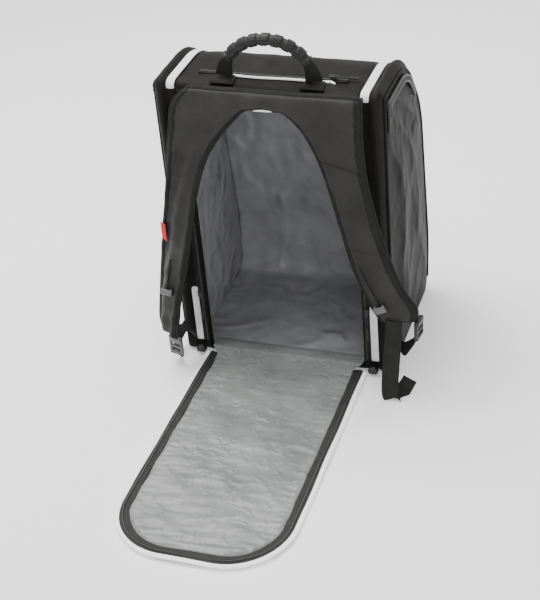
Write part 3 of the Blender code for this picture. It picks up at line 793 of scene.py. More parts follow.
DOOR_TAPE = woven("door_tape_cloth", (0.022, 0.022, 0.021), (0.046, 0.045, 0.043), 0.72, 0.0012, 0.0002)
path = door_edge_path(0.0108, 0.001, HINGE_Z + 0.0034, 0.004)
path[:, 2] += 0.0004 * np.sin(np.linspace(0, 55, len(path)))
tape = swept(path, oval(TAPE_WIDE / 2, 0.0012, 3.0, 16), beside(path, (0, 0, 1)))
fit(build("door_zip_tape", [tape], DOOR_TAPE), "flap", "zip_tape", "flap_zip_tape")

COIL_PITCH = 0.0024
plastic_coil, tree, surface, where = shader("coil_plastic", (0.020, 0.020, 0.021), 0.35)
relief(tree, surface, noise(tree, where.outputs["Object"], 400.0, 2.0), 0.0001, 0.4)


def coil(path, across, half_width, half_height):
    """Zip teeth: an oval bead along a path whose height rises and falls once every coil pitch."""
    run = lengths(path)
    want = np.linspace(0, run[-1], int(run[-1] / COIL_PITCH) * 4)
    ways = np.broadcast_to(np.array(across, float), path.shape)
    swell = 0.72 + 0.28 * np.cos(want / COIL_PITCH * 2 * math.pi)
    section = oval(half_width, half_height, 2.5, 8)[None] * swell[:, None, None]
    return swept(read_at(path, run, want), section, read_at(ways, run, want))


path = door_edge_path(0.0085, 0.001, HINGE_Z + 0.0050, 0.003)
door_coil = build("door_zip_coil", [coil(path, beside(path, (0, 0, 1)), 0.0019, 0.0012)], plastic_coil)
fit(door_coil, "flap", "zip_teeth", "flap_zip_teeth")

# The padded lining is gathered a little by its edge stitching, so small tucks run in from the edge
LINING_EDGE = 0.0176
x, away, share = door_rows(LINING_EDGE, 0.003, 300, 170)
flat_spots = np.stack([x, -away, np.zeros_like(x)], -1)
inside_by = edge_distance(x, away, LINING_EDGE)
tuck_wave = np.sin(away * 2 * math.pi / 0.013 + 4 * np.sin(away * 31 + x * 20))
tucks = 0.0007 * np.exp(-inside_by / 0.012) * tuck_wave
ripples = folds(flat_spots, 31, 0.020, 0.0030, (2.6, 0.8, 1.0))
ripples += folds(flat_spots, 32, 0.055, 0.0034, (2.0, 1.0, 1.0))
# One low and one high line cross the door, slightly askew
dip = 0.0022 * ridge(away - 0.10 * x, 0.150, 0.028) - 0.0014 * ridge(away + 0.15 * x, 0.205, 0.020)
height = plumpness(inside_by, 0.010) * (0.0052 + ripples - 0.0028 + tucks - dip)
wobble = 0.0006 * np.sin(away * 2 * math.pi / 0.061 + 2 * np.sin(away * 17)) * (np.abs(share) > 0.97)
top_leaf = np.stack(
    [x * (1 + wobble / 0.11), HINGE_Y - away, HINGE_Z + 0.0020 + np.clip(height, 0, 0.0085)], -1
)
door_lining = build("door_lining_cloth", [grid(top_leaf)], SILVER, (0, HINGE_Y - 0.2, -1.0))
fit(door_lining, "flap", "silver_lining", "flap_lining", "flap_foam")

# A strip of the same silver cloth runs from the bag's floor over the sill onto the door.
# It stands for the hinge tape that it covers.
steps = np.array(
    [
        (FRONT + 0.026, 0.0112),
        (FRONT + 0.016, 0.0142),
        (FRONT + 0.006, 0.0150),
        (FRONT - 0.001, 0.0148),
        (FRONT - 0.0045, 0.0138),
        (HINGE_Y - 0.004, 0.0124),
        (HINGE_Y - 0.012, 0.0112),
        (HINGE_Y - 0.022, 0.0100),
    ]
)
bend = spline(steps, 30)
taper = np.interp(bend[:, :1], [HINGE_Y - 0.010, FRONT], [0.94, 1.05])
strip = carried(np.linspace(-0.118, 0.118, 80) * taper, bend)
strip[..., 2] += folds(strip, 41, 0.022, 0.0016, (0.8, 2.0, 1.0))
hinge_cloth = build("hinge_cloth", [grid(strip)], SILVER, (0, HINGE_Y, -1.0))
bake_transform(hinge_cloth)
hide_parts("flap_hinge_tape")

# ------------------------------------------------------------------ opening
# The opening's edge is bound in white piping, and outside that runs the body's half of the zip.


def arch_path(grow, low, y, spacing):
    """The opening's arch made larger by grow, at a depth y, with both its ends at a height low."""
    line = arch(OPEN_HALF + grow, OPEN_TOP + grow, OPEN_CORNER + grow, low, spacing)
    return np.stack([line[:, 0], np.full(len(line), y), line[:, 1]], -1)


path = arch_path(0.0000, 0.36, FRONT + 0.0005, 0.004)
# Under the yoke's middle the piping droops by a centimetre, the only stretch of it that shows
droop = np.exp(-(((path[:, 0] + 0.008) / 0.032) ** 4))
path[:, 2] -= 0.0112 * droop * (path[:, 2] > 0.40)
piping = swept(path, oval(0.0016, 0.0016, 2.4, 12), beside(path, (0, 1, 0)))
fit(build("opening_piping", [piping], GLOWING_WHITE_PIPING), "root", "white_trim")
path = arch_path(0.0062, 0.024, FRONT - 0.0004, 0.004)
tape = swept(path, oval(0.0040, 0.0008, 2.4, 12), beside(path, (0, 1, 0)))
fit(build("opening_tape", [tape], BLACK_TAPE), "root", "zip_tape", "opening_zip_tape")
path = arch_path(0.0030, 0.024, FRONT - 0.0008, 0.003)
made = build("opening_coil", [coil(path, beside(path, (0, 1, 0)), 0.0016, 0.0008)], plastic_coil)
fit(made, "root", "zip_teeth", "opening_zip_teeth")

# ------------------------------------------------------------------ harness
# Yoke and shoulder straps are one padded shape: foam between two layers of black cloth, cut as an
# upside-down Y. The yoke is sewn to the body's front edge; the left strap has turned on its side.

# Each row is a line across the strap: its outer end, then its inner end, from the front plane
HARNESS = {
    "right": [
        ((0.1420, -0.0035, 0.4740), (0.0000, -0.0035, 0.4740)),
        ((0.1440, -0.0110, 0.4710), (0.0000, -0.0115, 0.4710)),
        ((0.1440, -0.0150, 0.4630), (0.0000, -0.0150, 0.4640)),
        ((0.1445, -0.0165, 0.4500), (0.0000, -0.0155, 0.4548)),
        ((0.1445, -0.0190, 0.4340), (0.0300, -0.0166, 0.4505)),
        ((0.1453, -0.0216, 0.4160), (0.0510, -0.0192, 0.4345)),
        ((0.1475, -0.0265, 0.3930), (0.0680, -0.0230, 0.4130)),
        ((0.1535, -0.0330, 0.3540), (0.0890, -0.0310, 0.3700)),
        ((0.1705, -0.0405, 0.2850), (0.1120, -0.0400, 0.2910)),
        ((0.1915, -0.0455, 0.2240), (0.1300, -0.0455, 0.2240)),
        ((0.2090, -0.0468, 0.1870), (0.1440, -0.0465, 0.1880)),
        ((0.2230, -0.0460, 0.1640), (0.1570, -0.0460, 0.1560)),
        ((0.2225, -0.0450, 0.1420), (0.1690, -0.0440, 0.1340)),
    ],
    "left": [
        ((-0.1120, -0.0035, 0.4740), (0.0000, -0.0035, 0.4740)),
        ((-0.1180, -0.0110, 0.4710), (0.0000, -0.0115, 0.4710)),
        ((-0.1290, -0.0150, 0.4620), (0.0000, -0.0150, 0.4640)),
        ((-0.1370, -0.0175, 0.4470), (0.0000, -0.0155, 0.4548)),
        ((-0.1400, -0.0190, 0.4340), (-0.0260, -0.0170, 0.4500)),
        ((-0.1425, -0.0215, 0.4160), (-0.0470, -0.0208, 0.4300)),
        ((-0.1455, -0.0250, 0.3930), (-0.0680, -0.0265, 0.4050)),
        ((-0.1490, -0.0282, 0.3600), (-0.0880, -0.0355, 0.3700)),
        ((-0.1570, -0.0298, 0.3100), (-0.1030, -0.0490, 0.3150)),
        ((-0.1690, -0.0290, 0.2430), (-0.1150, -0.0620, 0.2450)),
        ((-0.1785, -0.0298, 0.1900), (-0.1270, -0.0660, 0.1900)),
        ((-0.1862, -0.0314, 0.1400), (-0.1410, -0.0666, 0.1400)),
        ((-0.1905, -0.0325, 0.1100), (-0.1470, -0.0655, 0.1100)),
        ((-0.1930, -0.0337, 0.0850), (-0.1530, -0.0643, 0.0850)),
        ((-0.1900, -0.0351, 0.0660), (-0.1590, -0.0600, 0.0640)),
    ],
}
CROTCH_ROW = 3
PAD_ROUND = 0.0085
PAD_FRONT, PAD_BACK = 0.0068, 0.0042
EDGE_BAND = 0.0100
INNER_BAND = 0.0065


def stitches(path, long, gap, across):
    """Short raised threads along a path on cloth: each is a thin oval tube, a gap from the next."""
    run = lengths(path)
    starts = np.arange(gap, run[-1] - long, long + gap)
    spots = read_at(path, run, starts[:, None] + np.linspace(0, long, 3))
    return [swept(stitch, oval(0.0005, 0.0004, 2.0, 6), across) for stitch in spots]


STITCH, STITCH_GAP = 0.0034, 0.0018
rows, columns = 190, 44
# By side: the seed of its creases, how deep its lengthwise waves are, and where seams cross it
PAD_CREASES = {"right": (52, 0.0004, (0.118, 0.250)), "left": (51, 0.0028, (0.150,))}
harness_grids, binding_and_shade_masks, edge_paths, stitch_rows = [], [], {}, []
for side, stations in HARNESS.items():
    seed, waves, seams = PAD_CREASES[side]
    ends = spline(np.array(stations) + (0, FRONT, 0), rows)
    place = np.linspace(0, len(stations) - 1, rows)[:, None]
    outer_end, inner_end = ends[:, 0], ends[:, 1]
    # Columns lie closer together at both edges, where the pad is round
    share = (1 - np.cos(np.linspace(0, math.pi, columns))) / 2 * 0.6 + np.linspace(0, 1, columns) * 0.4
    middle = outer_end[:, None] * (1 - share[:, None]) + inner_end[:, None] * share[:, None]
    wide = np.linalg.norm(outer_end - inner_end, axis=1)[:, None]
    run = lengths(middle.mean(1))[:, None]
    # Above the crotch the two halves are one pad, so its inner edge is the crotch itself
    to_crotch = np.maximum(np.interp(CROTCH_ROW, place[:, 0], run[:, 0]) - run, 0)
    from_inner = np.hypot((1 - share) * wide, to_crotch * 1.5)
    from_inner = np.where(place < CROTCH_ROW, np.maximum(from_inner, 0.5 * to_crotch), from_inner)
    from_outer = share * wide
    from_end = run[-1] - run + 0 * from_outer
    nearest = np.minimum(np.minimum(from_inner, from_outer), from_end)
    full = plumpness(nearest, PAD_ROUND) * plumpness(run + 0.0001, 0.004)
    facing = unit(np.cross(np.gradient(middle, axis=0), np.gradient(middle, axis=1)))
    facing *= np.sign(-facing[..., 1:2].mean())
    soft = folds(middle, seed, 0.038, 0.0062, (1.6, 1.0, 1.0)) - 0.0028
    soft += waves * np.sin(from_outer / wide * 11 + run * 9) * window(run, 0.14, 1.0, 0.06)
    sunk = sum(0.0028 * ridge(run, seam, 0.0022) for seam in seams) + 0.0010 * ridge(run, 0.0085, 0.0012)
    sunk = sunk + 0.0012 * ridge(from_outer, EDGE_BAND, 0.0011)
    sunk = sunk + 0.0010 * ridge(from_inner, INNER_BAND, 0.0010)
    front_leaf = middle + facing * (full * (PAD_FRONT + soft - sunk))[..., None]
    back_leaf = middle - facing * (full * PAD_BACK)[..., None]
    uv = np.stack([from_outer, np.broadcast_to(run, from_outer.shape)], -1)
    # The pad's edges are bound with black tape. Along the yoke's top edge, where run is under 0.008, the same
    # dark tape covers the padded roll as painted shade, so the roll shows no lit line.
    binding_and_shade_strip = (from_outer < EDGE_BAND - 0.001) | (run < 0.008)
    binding_and_shade_strip |= (from_inner < INNER_BAND) & (place > CROTCH_ROW - 0.9)
    for leaf in (front_leaf, back_leaf):
        harness_grids.append(grid(leaf, uv=uv))
        binding_and_shade_masks.append(binding_and_shade_strip[:-1, :-1].reshape(-1))
    split = int(np.searchsorted(place[:, 0], CROTCH_ROW))
    for inset, edge, leaf, first in (
        (EDGE_BAND + 0.0015, from_outer, front_leaf, 6),
        (INNER_BAND + 0.0015, from_inner[:, ::-1], front_leaf[:, ::-1], split + 12),
    ):
        seat = np.array([read_at(leaf[row], edge[row], inset) for row in range(first, rows - 4)])
        stitch_rows += stitches(seat, STITCH, STITCH_GAP, (1, 0, 0))
    seat = front_leaf[int(np.searchsorted(run[:, 0], 0.0095))][::2]
    stitch_rows += stitches(seat, STITCH, STITCH_GAP, (0, 0, 1))
    edge_paths[side] = np.concatenate([outer_end, middle[-1, 1:-1], inner_end[split:][::-1]])

harness_cloth = cloth(
    "harness_cloth", (0.0140, 0.0135, 0.0125), (0.0300, 0.0290, 0.0270), roughness=0.50,
    thread=0.0010, depth=0.0002, crease=0.0090, crinkle=14.0, gloss=0.20,
)
harness = build("harness", harness_grids, harness_cloth, (0.0, 0.05, 0.25), merge=0.00003)
harness.data.materials.append(BLACK_TAPE)
harness.data.polygons.foreach_set("material_index", np.concatenate(binding_and_shade_masks).astype(np.int32))
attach(harness, "root")
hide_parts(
    "harness_yoke", "left_shoulder_pad", "right_shoulder_pad", "left_strap_end", "right_strap_end"
)
THREAD = woven("black_thread", (0.020, 0.020, 0.019), (0.055, 0.054, 0.052), 0.55, 0.0006, 0.0001)
fit(build("harness_stitching", stitch_rows, THREAD), "root", "webbing")
for side, path in edge_paths.items():
    edging = swept(evenly(path, 0.004), oval(0.0022, 0.0022, 2.0, 10), (0.3, 1.0, 0.1))
    fit(build(f"{side}_strap_binding", [edging], BLACK_TAPE), "root", "webbing")

# ------------------------------------------------------------------ webbing
# Woven tapes hang from the straps: each goes through a ladder lock and is sewn to a patch at the
# body's lower corner, and its loose tail hangs down, folded where it meets the floor.

WEB = woven("webbing_cloth", (0.007, 0.007, 0.007), (0.022, 0.021, 0.020), 0.68, 0.0018)
WEB_THICK = 0.0018


def turned(degrees):
    """A level direction, turned from the bag's right towards its far side."""
    return (math.cos(math.radians(degrees)), math.sin(math.radians(degrees)), 0.0)


WEBBINGS = {
    "right_lower_webbing": [
        ((0.2205, -0.0370, 0.1050), 0.022, (0, 1, 0)),
        ((0.2060, -0.0160, 0.0760), 0.022, (0, 0.9, 0.3)),
        ((0.1900, 0.0060, 0.0500), 0.022, (0, 0.4, 0.9)),
        ((0.1780, 0.0240, 0.0430), 0.022, (0, 0, 1)),
    ],
    "left_lower_webbing": [
        ((-0.1690, -0.0430, 0.0210), 0.022, turned(-30)),
        ((-0.1755, -0.0280, 0.0150), 0.022, (0.6, -0.2, -0.6)),
        ((-0.1800, -0.0060, 0.0220), 0.022, (0, 0, -1)),
        ((-0.1770, 0.0200, 0.0340), 0.022, (0, 0, -1)),
    ],
    "right_webbing_tail": [
        ((0.1900, -0.0520, 0.1420), 0.026, turned(0)),
        ((0.1890, -0.0540, 0.1180), 0.026, turned(0)),
        ((0.1860, -0.0560, 0.0800), 0.026, turned(0)),
        ((0.1830, -0.0590, 0.0380), 0.026, turned(4)),
        ((0.1830, -0.0610, 0.0130), 0.026, turned(12)),
        ((0.1860, -0.0580, 0.0035), 0.026, turned(24)),
        ((0.1920, -0.0500, 0.0030), 0.026, turned(30)),
        ((0.2000, -0.0400, 0.0110), 0.025, turned(30)),
        ((0.2070, -0.0310, 0.0230), 0.024, turned(30)),
    ],
    "left_webbing_tail": [
        ((-0.1660, -0.0400, 0.0600), 0.024, turned(-36)),
        ((-0.1580, -0.0290, 0.0640), 0.024, turned(-36)),
        ((-0.1520, -0.0200, 0.0560), 0.024, turned(-36)),
        ((-0.1490, -0.0150, 0.0420), 0.024, turned(-36)),
    ],
}
for name, stations in WEBBINGS.items():
    places, widths, ways = zip(*stations)
    path = spline(np.array(places) + (0, FRONT, 0), 70)
    section = oval(0.5, WEB_THICK / 2, 6.0, 20)[None] * np.ones((70, 1, 2))
    section[..., 0] *= spline(np.array(widths)[:, None], 70)
    tape = build(name + "_tape", [swept(path, section, spline(ways, 70))], WEB)
    run = float(lengths(path)[-1])
    fit(tape, "root", "webbing", name)

# ------------------------------------------------------------------ moulded hardware
# Ladder locks, zip end guards, sliders and hooks are moulded in dark or grey nylon. Each is made
# of blocks with round edges.


def plastic(name, colour, roughness):
    """Moulded nylon: fine grain that shows as bump, and slightly uneven gloss."""
    made, tree, surface, where = shader(name, colour, roughness)
    scuff = noise(tree, where.outputs["Object"], 60.0, 5.0)
    limits = {"To Min": roughness - 0.08, "To Max": roughness + 0.15}
    dull = add(tree, "ShaderNodeMapRange", {"Value": scuff, **limits})
    tree.links.new(dull.outputs["Result"], surface.inputs["Roughness"])
    relief(tree, surface, noise(tree, where.outputs["Object"], 900.0, 3.0), 0.0001, 0.5)
    return made


DARK_NYLON = plastic("dark_nylon", (0.012, 0.012, 0.012), 0.36)
GREY_NYLON = plastic("grey_nylon", (0.095, 0.095, 0.098), 0.38)


def axes(across, up):
    """A turn whose columns are width, depth and height, from a width and an upward direction."""
    width = unit(np.array(across, float))
    height = unit(np.array(up, float) - width * np.dot(width, up))
    return np.stack([width, np.cross(height, width), height], -1)


def block(centre, size, radius, turn=np.eye(3), steps=4):
    """A box with round edges: each direction on a sphere, moved out to the box corner it points to."""
    quarter = np.linspace(0, math.pi / 2, steps)
    lat = np.concatenate([quarter - math.pi / 2, quarter])
    lat_sign = np.repeat([-1.0, 1.0], steps)
    lon = np.concatenate([quarter + math.pi / 2 * step for step in range(4)])
    lon_x = np.repeat([1.0, -1.0, -1.0, 1.0], steps)
    lon_y = np.repeat([1.0, 1.0, -1.0, -1.0], steps)
    core = np.array(size) / 2 - radius
    x = lon_x[None] * core[0] + radius * np.cos(lat)[:, None] * np.cos(lon)[None]
    y = lon_y[None] * core[1] + radius * np.cos(lat)[:, None] * np.sin(lon)[None]
    z = np.broadcast_to((lat_sign * core[2] + radius * np.sin(lat))[:, None], x.shape)
    points = np.stack([x, y, z], -1) @ turn.T + np.array(centre)
    return grid(points, wrap=True, cap=True)


def middle_of(node):
    """The middle and the size of a node's box."""
    low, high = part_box(node)
    return np.array((low + high) / 2), np.array(high - low)


def blocks(centre, turn, rows):
    """Blocks set about a centre in a turned frame: each row is a place, a size and an edge radius."""
    return [block(centre + turn @ place, size, radius, turn) for place, size, radius in rows]


def ladder_lock(centre, turn, wide, high, thick):
    """Blocks of a ladder lock: a frame of two rails and four bars, the last of them with a lip."""
    rails = [((sign * (wide / 2 - 0.0018), 0, 0), (0.0036, thick, high), 0.0010) for sign in (-1, 1)]
    bars = [
        ((0, 0, share * high), (wide, thick * deep, 0.0042), 0.0010)
        for share, deep in ((-0.46, 1.0), (-0.13, 0.8), (0.17, 0.8), (0.45, 1.0))
    ]
    lip = ((0, -thick * 0.55, 0.40 * high), (wide * 0.86, 0.0022, 0.0075), 0.0008)
    return blocks(centre, turn, [*rails, *bars, lip])


for side, finish, wide_way, wide, thick in (
    ("right", DARK_NYLON, (0.12, 1.0, 0.0), 0.0260, 0.0058),
    ("left", GREY_NYLON, turned(-20), 0.0260, 0.0048),
):
    centre, size = middle_of(f"{side}_ladder_lock")
    shapes = ladder_lock(centre, axes(wide_way, (0.0, 0.0, 1.0)), wide, size[2], thick)
    lock = build(f"{side}_ladder_buckle", shapes, finish, crisp=40)
    fit(lock, "root", "dark_plastic" if side == "right" else "grey_plastic", f"{side}_ladder_lock")

for side, sign in SIDES:
    centre, size = middle_of(f"{side}_zip_end_guard")
    ribs = [((step * 0.0042, -size[1] / 2, -0.001), (0.0014, 0.0020, 0.0060), 0.0006) for step in (-1, 0, 1)]
    base = ((0, 0, 0), size * (1, 1, 0.5), 0.0030)
    hood = ((0, -0.001, 0.003), size * (0.7, 0.75, 0.62), 0.0030)
    made = build(f"{side}_zip_stop", blocks(centre, np.eye(3), [base, hood, *ribs]), DARK_NYLON, crisp=40)
    fit(made, "root", "dark_plastic", f"{side}_zip_end_guard")

    centre, size = middle_of(f"{side}_webbing_anchor")
    shapes = [block(centre, size, 0.0009)]
    for edge in (-1, 1):
        for share in np.linspace(-0.42, 0.42, 12):
            stitch = centre + (sign * size[0] / 2, edge * size[1] * 0.40, share * size[2])
            shapes.append(block(stitch, (0.0006, 0.0008, 0.0018), 0.0002, steps=2))
    fit(build(f"{side}_anchor_patch", shapes, WEB, crisp=40), "root", "webbing", f"{side}_webbing_anchor")

# ------------------------------------------------------------------ sternum rails
# A cord is sewn along each strap, and a grey hook for the chest strap slides on it.

for side, sign in SIDES:
    centre, size = middle_of(f"{side}_sternum_rail")
    half_way = size / 2 * (-sign, 0, 1)
    path = np.linspace(centre - half_way, centre + half_way, 24)
    rail = build(f"{side}_rail_cord", [swept(path, oval(0.0014, 0.0012, 2.0, 10), (1, 0, 0))], BLACK_TAPE)
    fit(rail, "root", "webbing", f"{side}_sternum_rail")
    centre, size = middle_of(f"{side}_sternum_slider")
    turn = axes(np.cross((0, -1, 0), half_way), half_way)
    plate = ((0, 0, 0), (0.018, 0.0040, 0.0100), 0.0012)
    ears = [((step * 0.0065, -0.0022, 0), (0.0030, 0.0042, 0.0125), 0.0012) for step in (-1, 1)]
    bar = ((0, -0.0030, -0.0035), (0.0120, 0.0026, 0.0030), 0.0010)
    made = build(f"{side}_sternum_hook", blocks(centre, turn, [plate, *ears, bar]), GREY_NYLON, crisp=40)
    fit(made, f"{side}_sternum_catch", "grey_plastic", f"{side}_sternum_slider")

red_thread = woven("red_tab_cloth", (0.40, 0.010, 0.014), (0.62, 0.020, 0.026), 0.6, 0.0010, 0.0001)
centre, size = middle_of("label_tab")
path = np.linspace(centre + (0.0, -0.0006, -0.0145), centre + (0.0, 0.0, 0.0145), 20)
path[:, 1] -= 0.0008 * np.sin(np.linspace(0, math.pi, 20))
tab = build("red_tab", [swept(path, oval(0.0060, 0.0006, 5.0, 16), turned(-33))], red_thread)
fit(tab, "root", "red_label", "label_tab")

# ------------------------------------------------------------------ carrying handle
# A tube of black rubber, moulded with tyre lugs along its top and bottom edges and a smooth band
# between, over a webbing loop. The loop's feet widen and are sewn to the top with cloth patches.

grip_low, grip_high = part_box("handle_grip")
GRIP_Y = (grip_low.y + grip_high.y) / 2
GRIP_RADIUS = (grip_high.y - grip_low.y) / 2
GRIP_ARC = 0.072
GRIP_ANGLE = math.radians(56)
FOOT_X = 0.067
PATCH_STITCH, PATCH_GAP = 0.0026, 0.0012
ARC_CENTRE = grip_high.z - GRIP_RADIUS - GRIP_ARC

rubber, tree, surface, where = shader("tread_rubber", (0.012, 0.012, 0.012), 0.50)
dust = noise(tree, where.outputs["Object"], 45.0, 8.0, Roughness=0.7)
tree.links.new(tinted(tree, dust, (0.007, 0.007, 0.007), (0.020, 0.020, 0.019)), surface.inputs["Base Color"])
surface.inputs["Specular IOR Level"].default_value = 0.25
relief(tree, surface, noise(tree, where.outputs["Object"], 700.0, 2.0), 0.00015, 0.6)

LUGS = 8
lean = np.linspace(-GRIP_ANGLE, GRIP_ANGLE, 361)
# around is 0 on top of the grip and a quarter turn at its front, which faces out of the bag
around = np.linspace(0, 2 * math.pi, 72, endpoint=False)


def teeth(phase):
    """1 on each lug along the grip and 0 in the gaps, with a steep flank between."""
    turns = lean / GRIP_ANGLE * LUGS * math.pi + phase
    return 1 / (1 + np.exp(-14 * (np.cos(turns) + 0.45)))[:, None]


top_lug = window(np.cos(around), 0.35, 1.2, 0.10)[None, :] * teeth(0.0)
base_lug = window(-np.cos(around), 0.40, 1.2, 0.10)[None, :] * teeth(1.2)
band = window(np.abs(np.sin(around)), 0.93, 1.2, 0.06)[None, :]
end_taper = 1 - 0.10 * window(np.abs(lean), GRIP_ANGLE - 0.02, 9.0, 0.03)[:, None]
radius = (GRIP_RADIUS * (0.80 + 0.20 * top_lug + 0.16 * base_lug + 0.06 * band)) * end_taper
reach = GRIP_ARC + radius * np.cos(around)[None]
points = np.stack(
    [
        reach * np.sin(lean)[:, None],
        GRIP_Y - radius * np.sin(around)[None],
        ARC_CENTRE + reach * np.cos(lean)[:, None],
    ],
    -1,
)
tread = build("tread_grip", [grid(points, wrap=True, cap=True)], rubber, crisp=50)
fit(tread, "handle", "rubber", "handle_grip")

for side, sign in SIDES:
    angle = sign * (GRIP_ANGLE - 0.03)
    top = np.array((GRIP_ARC * math.sin(angle), GRIP_Y, ARC_CENTRE + GRIP_ARC * math.cos(angle)))
    low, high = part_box(f"{side}_handle_webbing")
    foot = np.array((sign * FOOT_X, GRIP_Y, low.z))
    path = spline([top, top * 0.55 + foot * 0.45 + (sign * 0.002, 0, 0), foot], 30)
    wide = np.interp(np.linspace(0, 1, 30), [0, 0.25, 1], [0.0150, 0.0190, 0.0270])
    section = oval(0.5, 0.5, 3.0, 20)[None] * np.stack([wide, np.linspace(0.0095, 0.0030, 30)], -1)[:, None]
    loop = build(f"{side}_handle_loop", [swept(path, section, (1, 0, 0))], WEB)
    fit(loop, "handle", "webbing", f"{side}_handle_webbing")
    low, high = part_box(f"{side}_handle_patch")
    share_v = np.linspace(0, 1, 26)[:, None]
    share_u = np.linspace(-1, 1, 40)[None, :]
    half_wide = 0.0185 * (1 - 0.22 * share_v)
    x = (low.x + high.x) / 2 + half_wide * share_u
    y = low.y - 0.0065 + (high.y - low.y + 0.0065) * share_v + 0 * share_u
    rim = np.minimum(np.minimum(1 - np.abs(share_u) + 0 * share_v, share_v * 2), (1 - share_v) * 2)
    raised = 0.0026 * plumpness(rim, 0.16) - 0.0007 * ridge(rim, 0.22, 0.05)
    patch_top = np.stack([x, y, low.z - 0.0006 + raised], -1)
    patch = build(f"{side}_foot_patch", [grid(patch_top, uv=np.stack([x, y], -1))], BLACK_CLOTH, (0, 0, -1.0))
    fit(patch, "root", "webbing", f"{side}_handle_patch")
    sewn = []
    seat = patch_top + (0, 0, 0.0002)
    for row, across in (
        (seat[4, 5:-5], (0, 1, 0)),
        (seat[21, 5:-5], (0, 1, 0)),
        (seat[4:-4, 5], (1, 0, 0)),
        (seat[4:-4, 34], (1, 0, 0)),
    ):
        sewn += stitches(row, PATCH_STITCH, PATCH_GAP, across)
    fit(build(f"{side}_patch_stitching", sewn, THREAD), "root", "webbing")

# ------------------------------------------------------------------ top zip
# Across the top, behind the handle's feet, a zip opens the small pocket. White piping edges it.

tape_low, tape_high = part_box("top_zip_tape")
TOP_Z = tape_low.z
zip_y = (tape_low.y + tape_high.y) / 2
x_run = np.linspace(tape_low.x, tape_high.x, 60)
sag = 0.0032 * np.cos(x_run / HALF * math.pi / 2)
path = np.stack([x_run, np.full(60, zip_y), TOP_Z + 0.0004 - sag], -1)
made = build("top_zip_tape_cloth", [swept(path, oval(0.0060, 0.0008, 4.0, 16), (0, 1, 0))], BLACK_TAPE)
fit(made, "root", "zip_tape", "top_zip_tape")
made = build("top_zip_coil", [coil(path + (0, 0, 0.0010), (0, 1, 0), 0.0016, 0.0008)], plastic_coil)
fit(made, "root", "zip_teeth")
low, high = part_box("top_zip_piping")
# Past the stretch that shows, both ends of the piping dive into the seam
dive = 0.0080 * (1 - window(x_run, -0.072, 0.090, 0.008))
piping_y = (low.y + high.y) / 2 + 0.0008 * np.sin(x_run * 60)
path = np.stack([x_run, piping_y, high.z - 0.0014 - sag - dive], -1)
made = build("top_white_piping", [swept(path, oval(0.0017, 0.0017, 2.0, 12), (0, 1, 0))], GLOWING_WHITE_PIPING)
fit(made, "root", "white_trim", "top_zip_piping")

# ------------------------------------------------------------------ side pocket zips
# A zip follows the roll at the top of each side, between two folded edges of the side panel.
# Its lower front end is covered by a moulded garage.

# The folded edges are the side panel's own coated cloth, coloured several times lighter: a painted sheen
# along the folds.
FOLD_SHEEN_GREY = cloth(
    "fold_cloth_painted_sheen", (0.045, 0.044, 0.042), (0.075, 0.073, 0.070), roughness=0.45, thread=0.0012, depth=0.0001
)
for side, sign in SIDES:
    for label, inset, half_wide, half_high, inward, finish in (
        ("side_zip_coil", 0.0210, 0.0022, 0.0014, 0.0, None),
        ("side_zip_fold_outer", 0.0172, 0.0020, 0.0022, 0.0012, FOLD_SHEEN_GREY),
        ("side_zip_fold_inner", 0.0248, 0.0020, 0.0022, 0.0, FOLD_SHEEN_GREY),
    ):
        run = over_body(side_line, side_out, inset, 0.410, 0.400)
        path = at_side(sign * (SEAM_X + 0.0050 - inward), run)
        way = beside(path, (1, 0, 0))
        if finish is None:
            made = build(f"{side}_{label}", [coil(path, way, half_wide, half_high)], plastic_coil)
            fit(made, "root", "zip_teeth", f"{side}_side_zip")
        else:
            fold = swept(path, oval(half_wide, half_high, 2.2, 12), way)
            fit(build(f"{side}_{label}", [fold], finish), "root", "coated_fabric")
    centre, size = middle_of(f"{side}_zip_garage")
    cover = ((sign * 0.0035, 0, 0), (0.0036, size[1], size[2]), 0.0012)
    rib = ((sign * 0.0052, 0, 0.006), (0.0020, size[1] * 0.75, 0.0030), 0.0008)
    made = build(f"{side}_garage", blocks(centre, np.eye(3), [cover, rib]), rubber, crisp=40)
    fit(made, "root", "rubber", f"{side}_zip_garage")

# ------------------------------------------------------------------ sliders and pulls
# Each slider has two plates joined by a bridge, with a bail on top. Its pull is a loop of cord in
# a moulded end, which swings on the bail.

CORD = woven("pull_cord", (0.020, 0.020, 0.020), (0.060, 0.060, 0.058), 0.6, 0.0010, 0.0002)


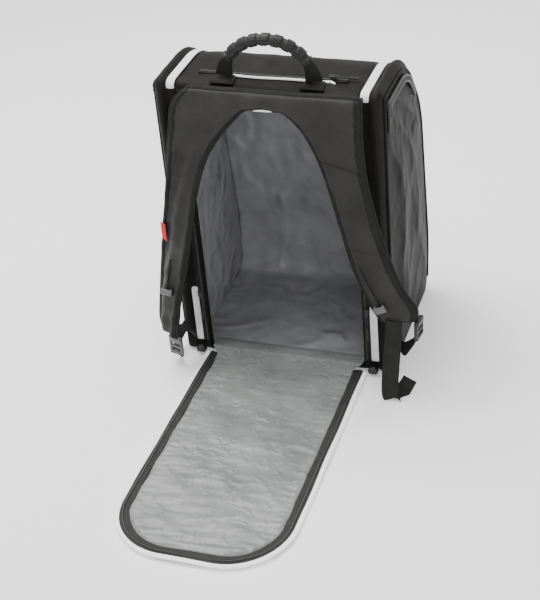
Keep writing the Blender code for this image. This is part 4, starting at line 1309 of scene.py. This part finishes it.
def slider_shapes(centre, size, turn):
    """Blocks of a slider: plates above and below, the bridge between them, and the bail on top."""
    wide, thick, long = size
    rows = [
        ((0, -thick * 0.32, 0), (wide, thick * 0.36, long), 0.0005),
        ((0, thick * 0.32, 0), (wide, thick * 0.36, long * 0.9), 0.0005),
        ((0, 0, long * 0.30), (wide * 0.3, thick * 0.8, long * 0.25), 0.0004),
        ((0, -thick * 0.62, -long * 0.05), (wide * 0.26, thick * 0.35, long * 0.75), 0.0004),
    ]
    return blocks(centre, turn, rows)


def pull_shapes(pivot, tip, across):
    """A cord loop from the pivot and back, and a moulded grip with three ribs on its end."""
    reach = tip - pivot
    long = np.linalg.norm(reach)
    turn = axes(across, -reach)
    t = np.linspace(0, 2 * math.pi, 40, endpoint=False)
    loop = pivot + turn @ (0, 0, -long * 0.28) + np.stack(
        [0.0017 * np.sin(t), np.zeros(40), long * 0.30 * np.cos(t)], -1
    ) @ turn.T
    loop = np.concatenate([loop, loop[:1]])
    cord = swept(loop, oval(0.0007, 0.0007, 2.0, 8), turn[:, 1], cap=False)
    grip = ((0, 0, 0), (0.0050, 0.0026, long * 0.48), 0.0010)
    ribs = [((0, -0.0010, step * long * 0.10), (0.0042, 0.0014, 0.0014), 0.0005) for step in (-1, 0, 1)]
    return [cord, *blocks(pivot + reach * 0.76, turn, [grip, *ribs])]


# Each zip by the start of its names, with the slider's width and upward directions. The pull hangs
# the other way.
SLIDERS = [
    ("left_main", (1, 0, 0), (0, 0, 1)),
    ("right_main", (1, 0, 0), (0, 0, 1)),
    ("left_side", (0, -1, 0), (0, 0, 1)),
    ("right_side", (0, 1, 0), (0, 0, 1)),
    ("top", (0, 1, 0), (-1, 0, 0)),
]
for place, wide_way, upward in SLIDERS:
    stem = f"{place}_zip"
    centre, extent = middle_of(f"{stem}_slider")
    turn = axes(wide_way, upward)
    size = np.abs(turn.T @ extent)
    made = build(f"{stem}_slider_body", slider_shapes(centre, size, turn), DARK_NYLON, crisp=40)
    fit(made, f"{place}_slider", "dark_plastic", f"{stem}_slider")
    centre, extent = middle_of(f"{stem}_pull")
    hang = -np.array(upward)
    half_long = float(np.abs(extent @ hang)) / 2
    pivot, tip = centre - hang * (half_long - 0.0006), centre + hang * half_long
    made = build(f"{stem}_pull_cord", pull_shapes(pivot, tip, wide_way), CORD, crisp=50)
    fit(made, f"{place}_pull", "webbing", f"{stem}_pull")
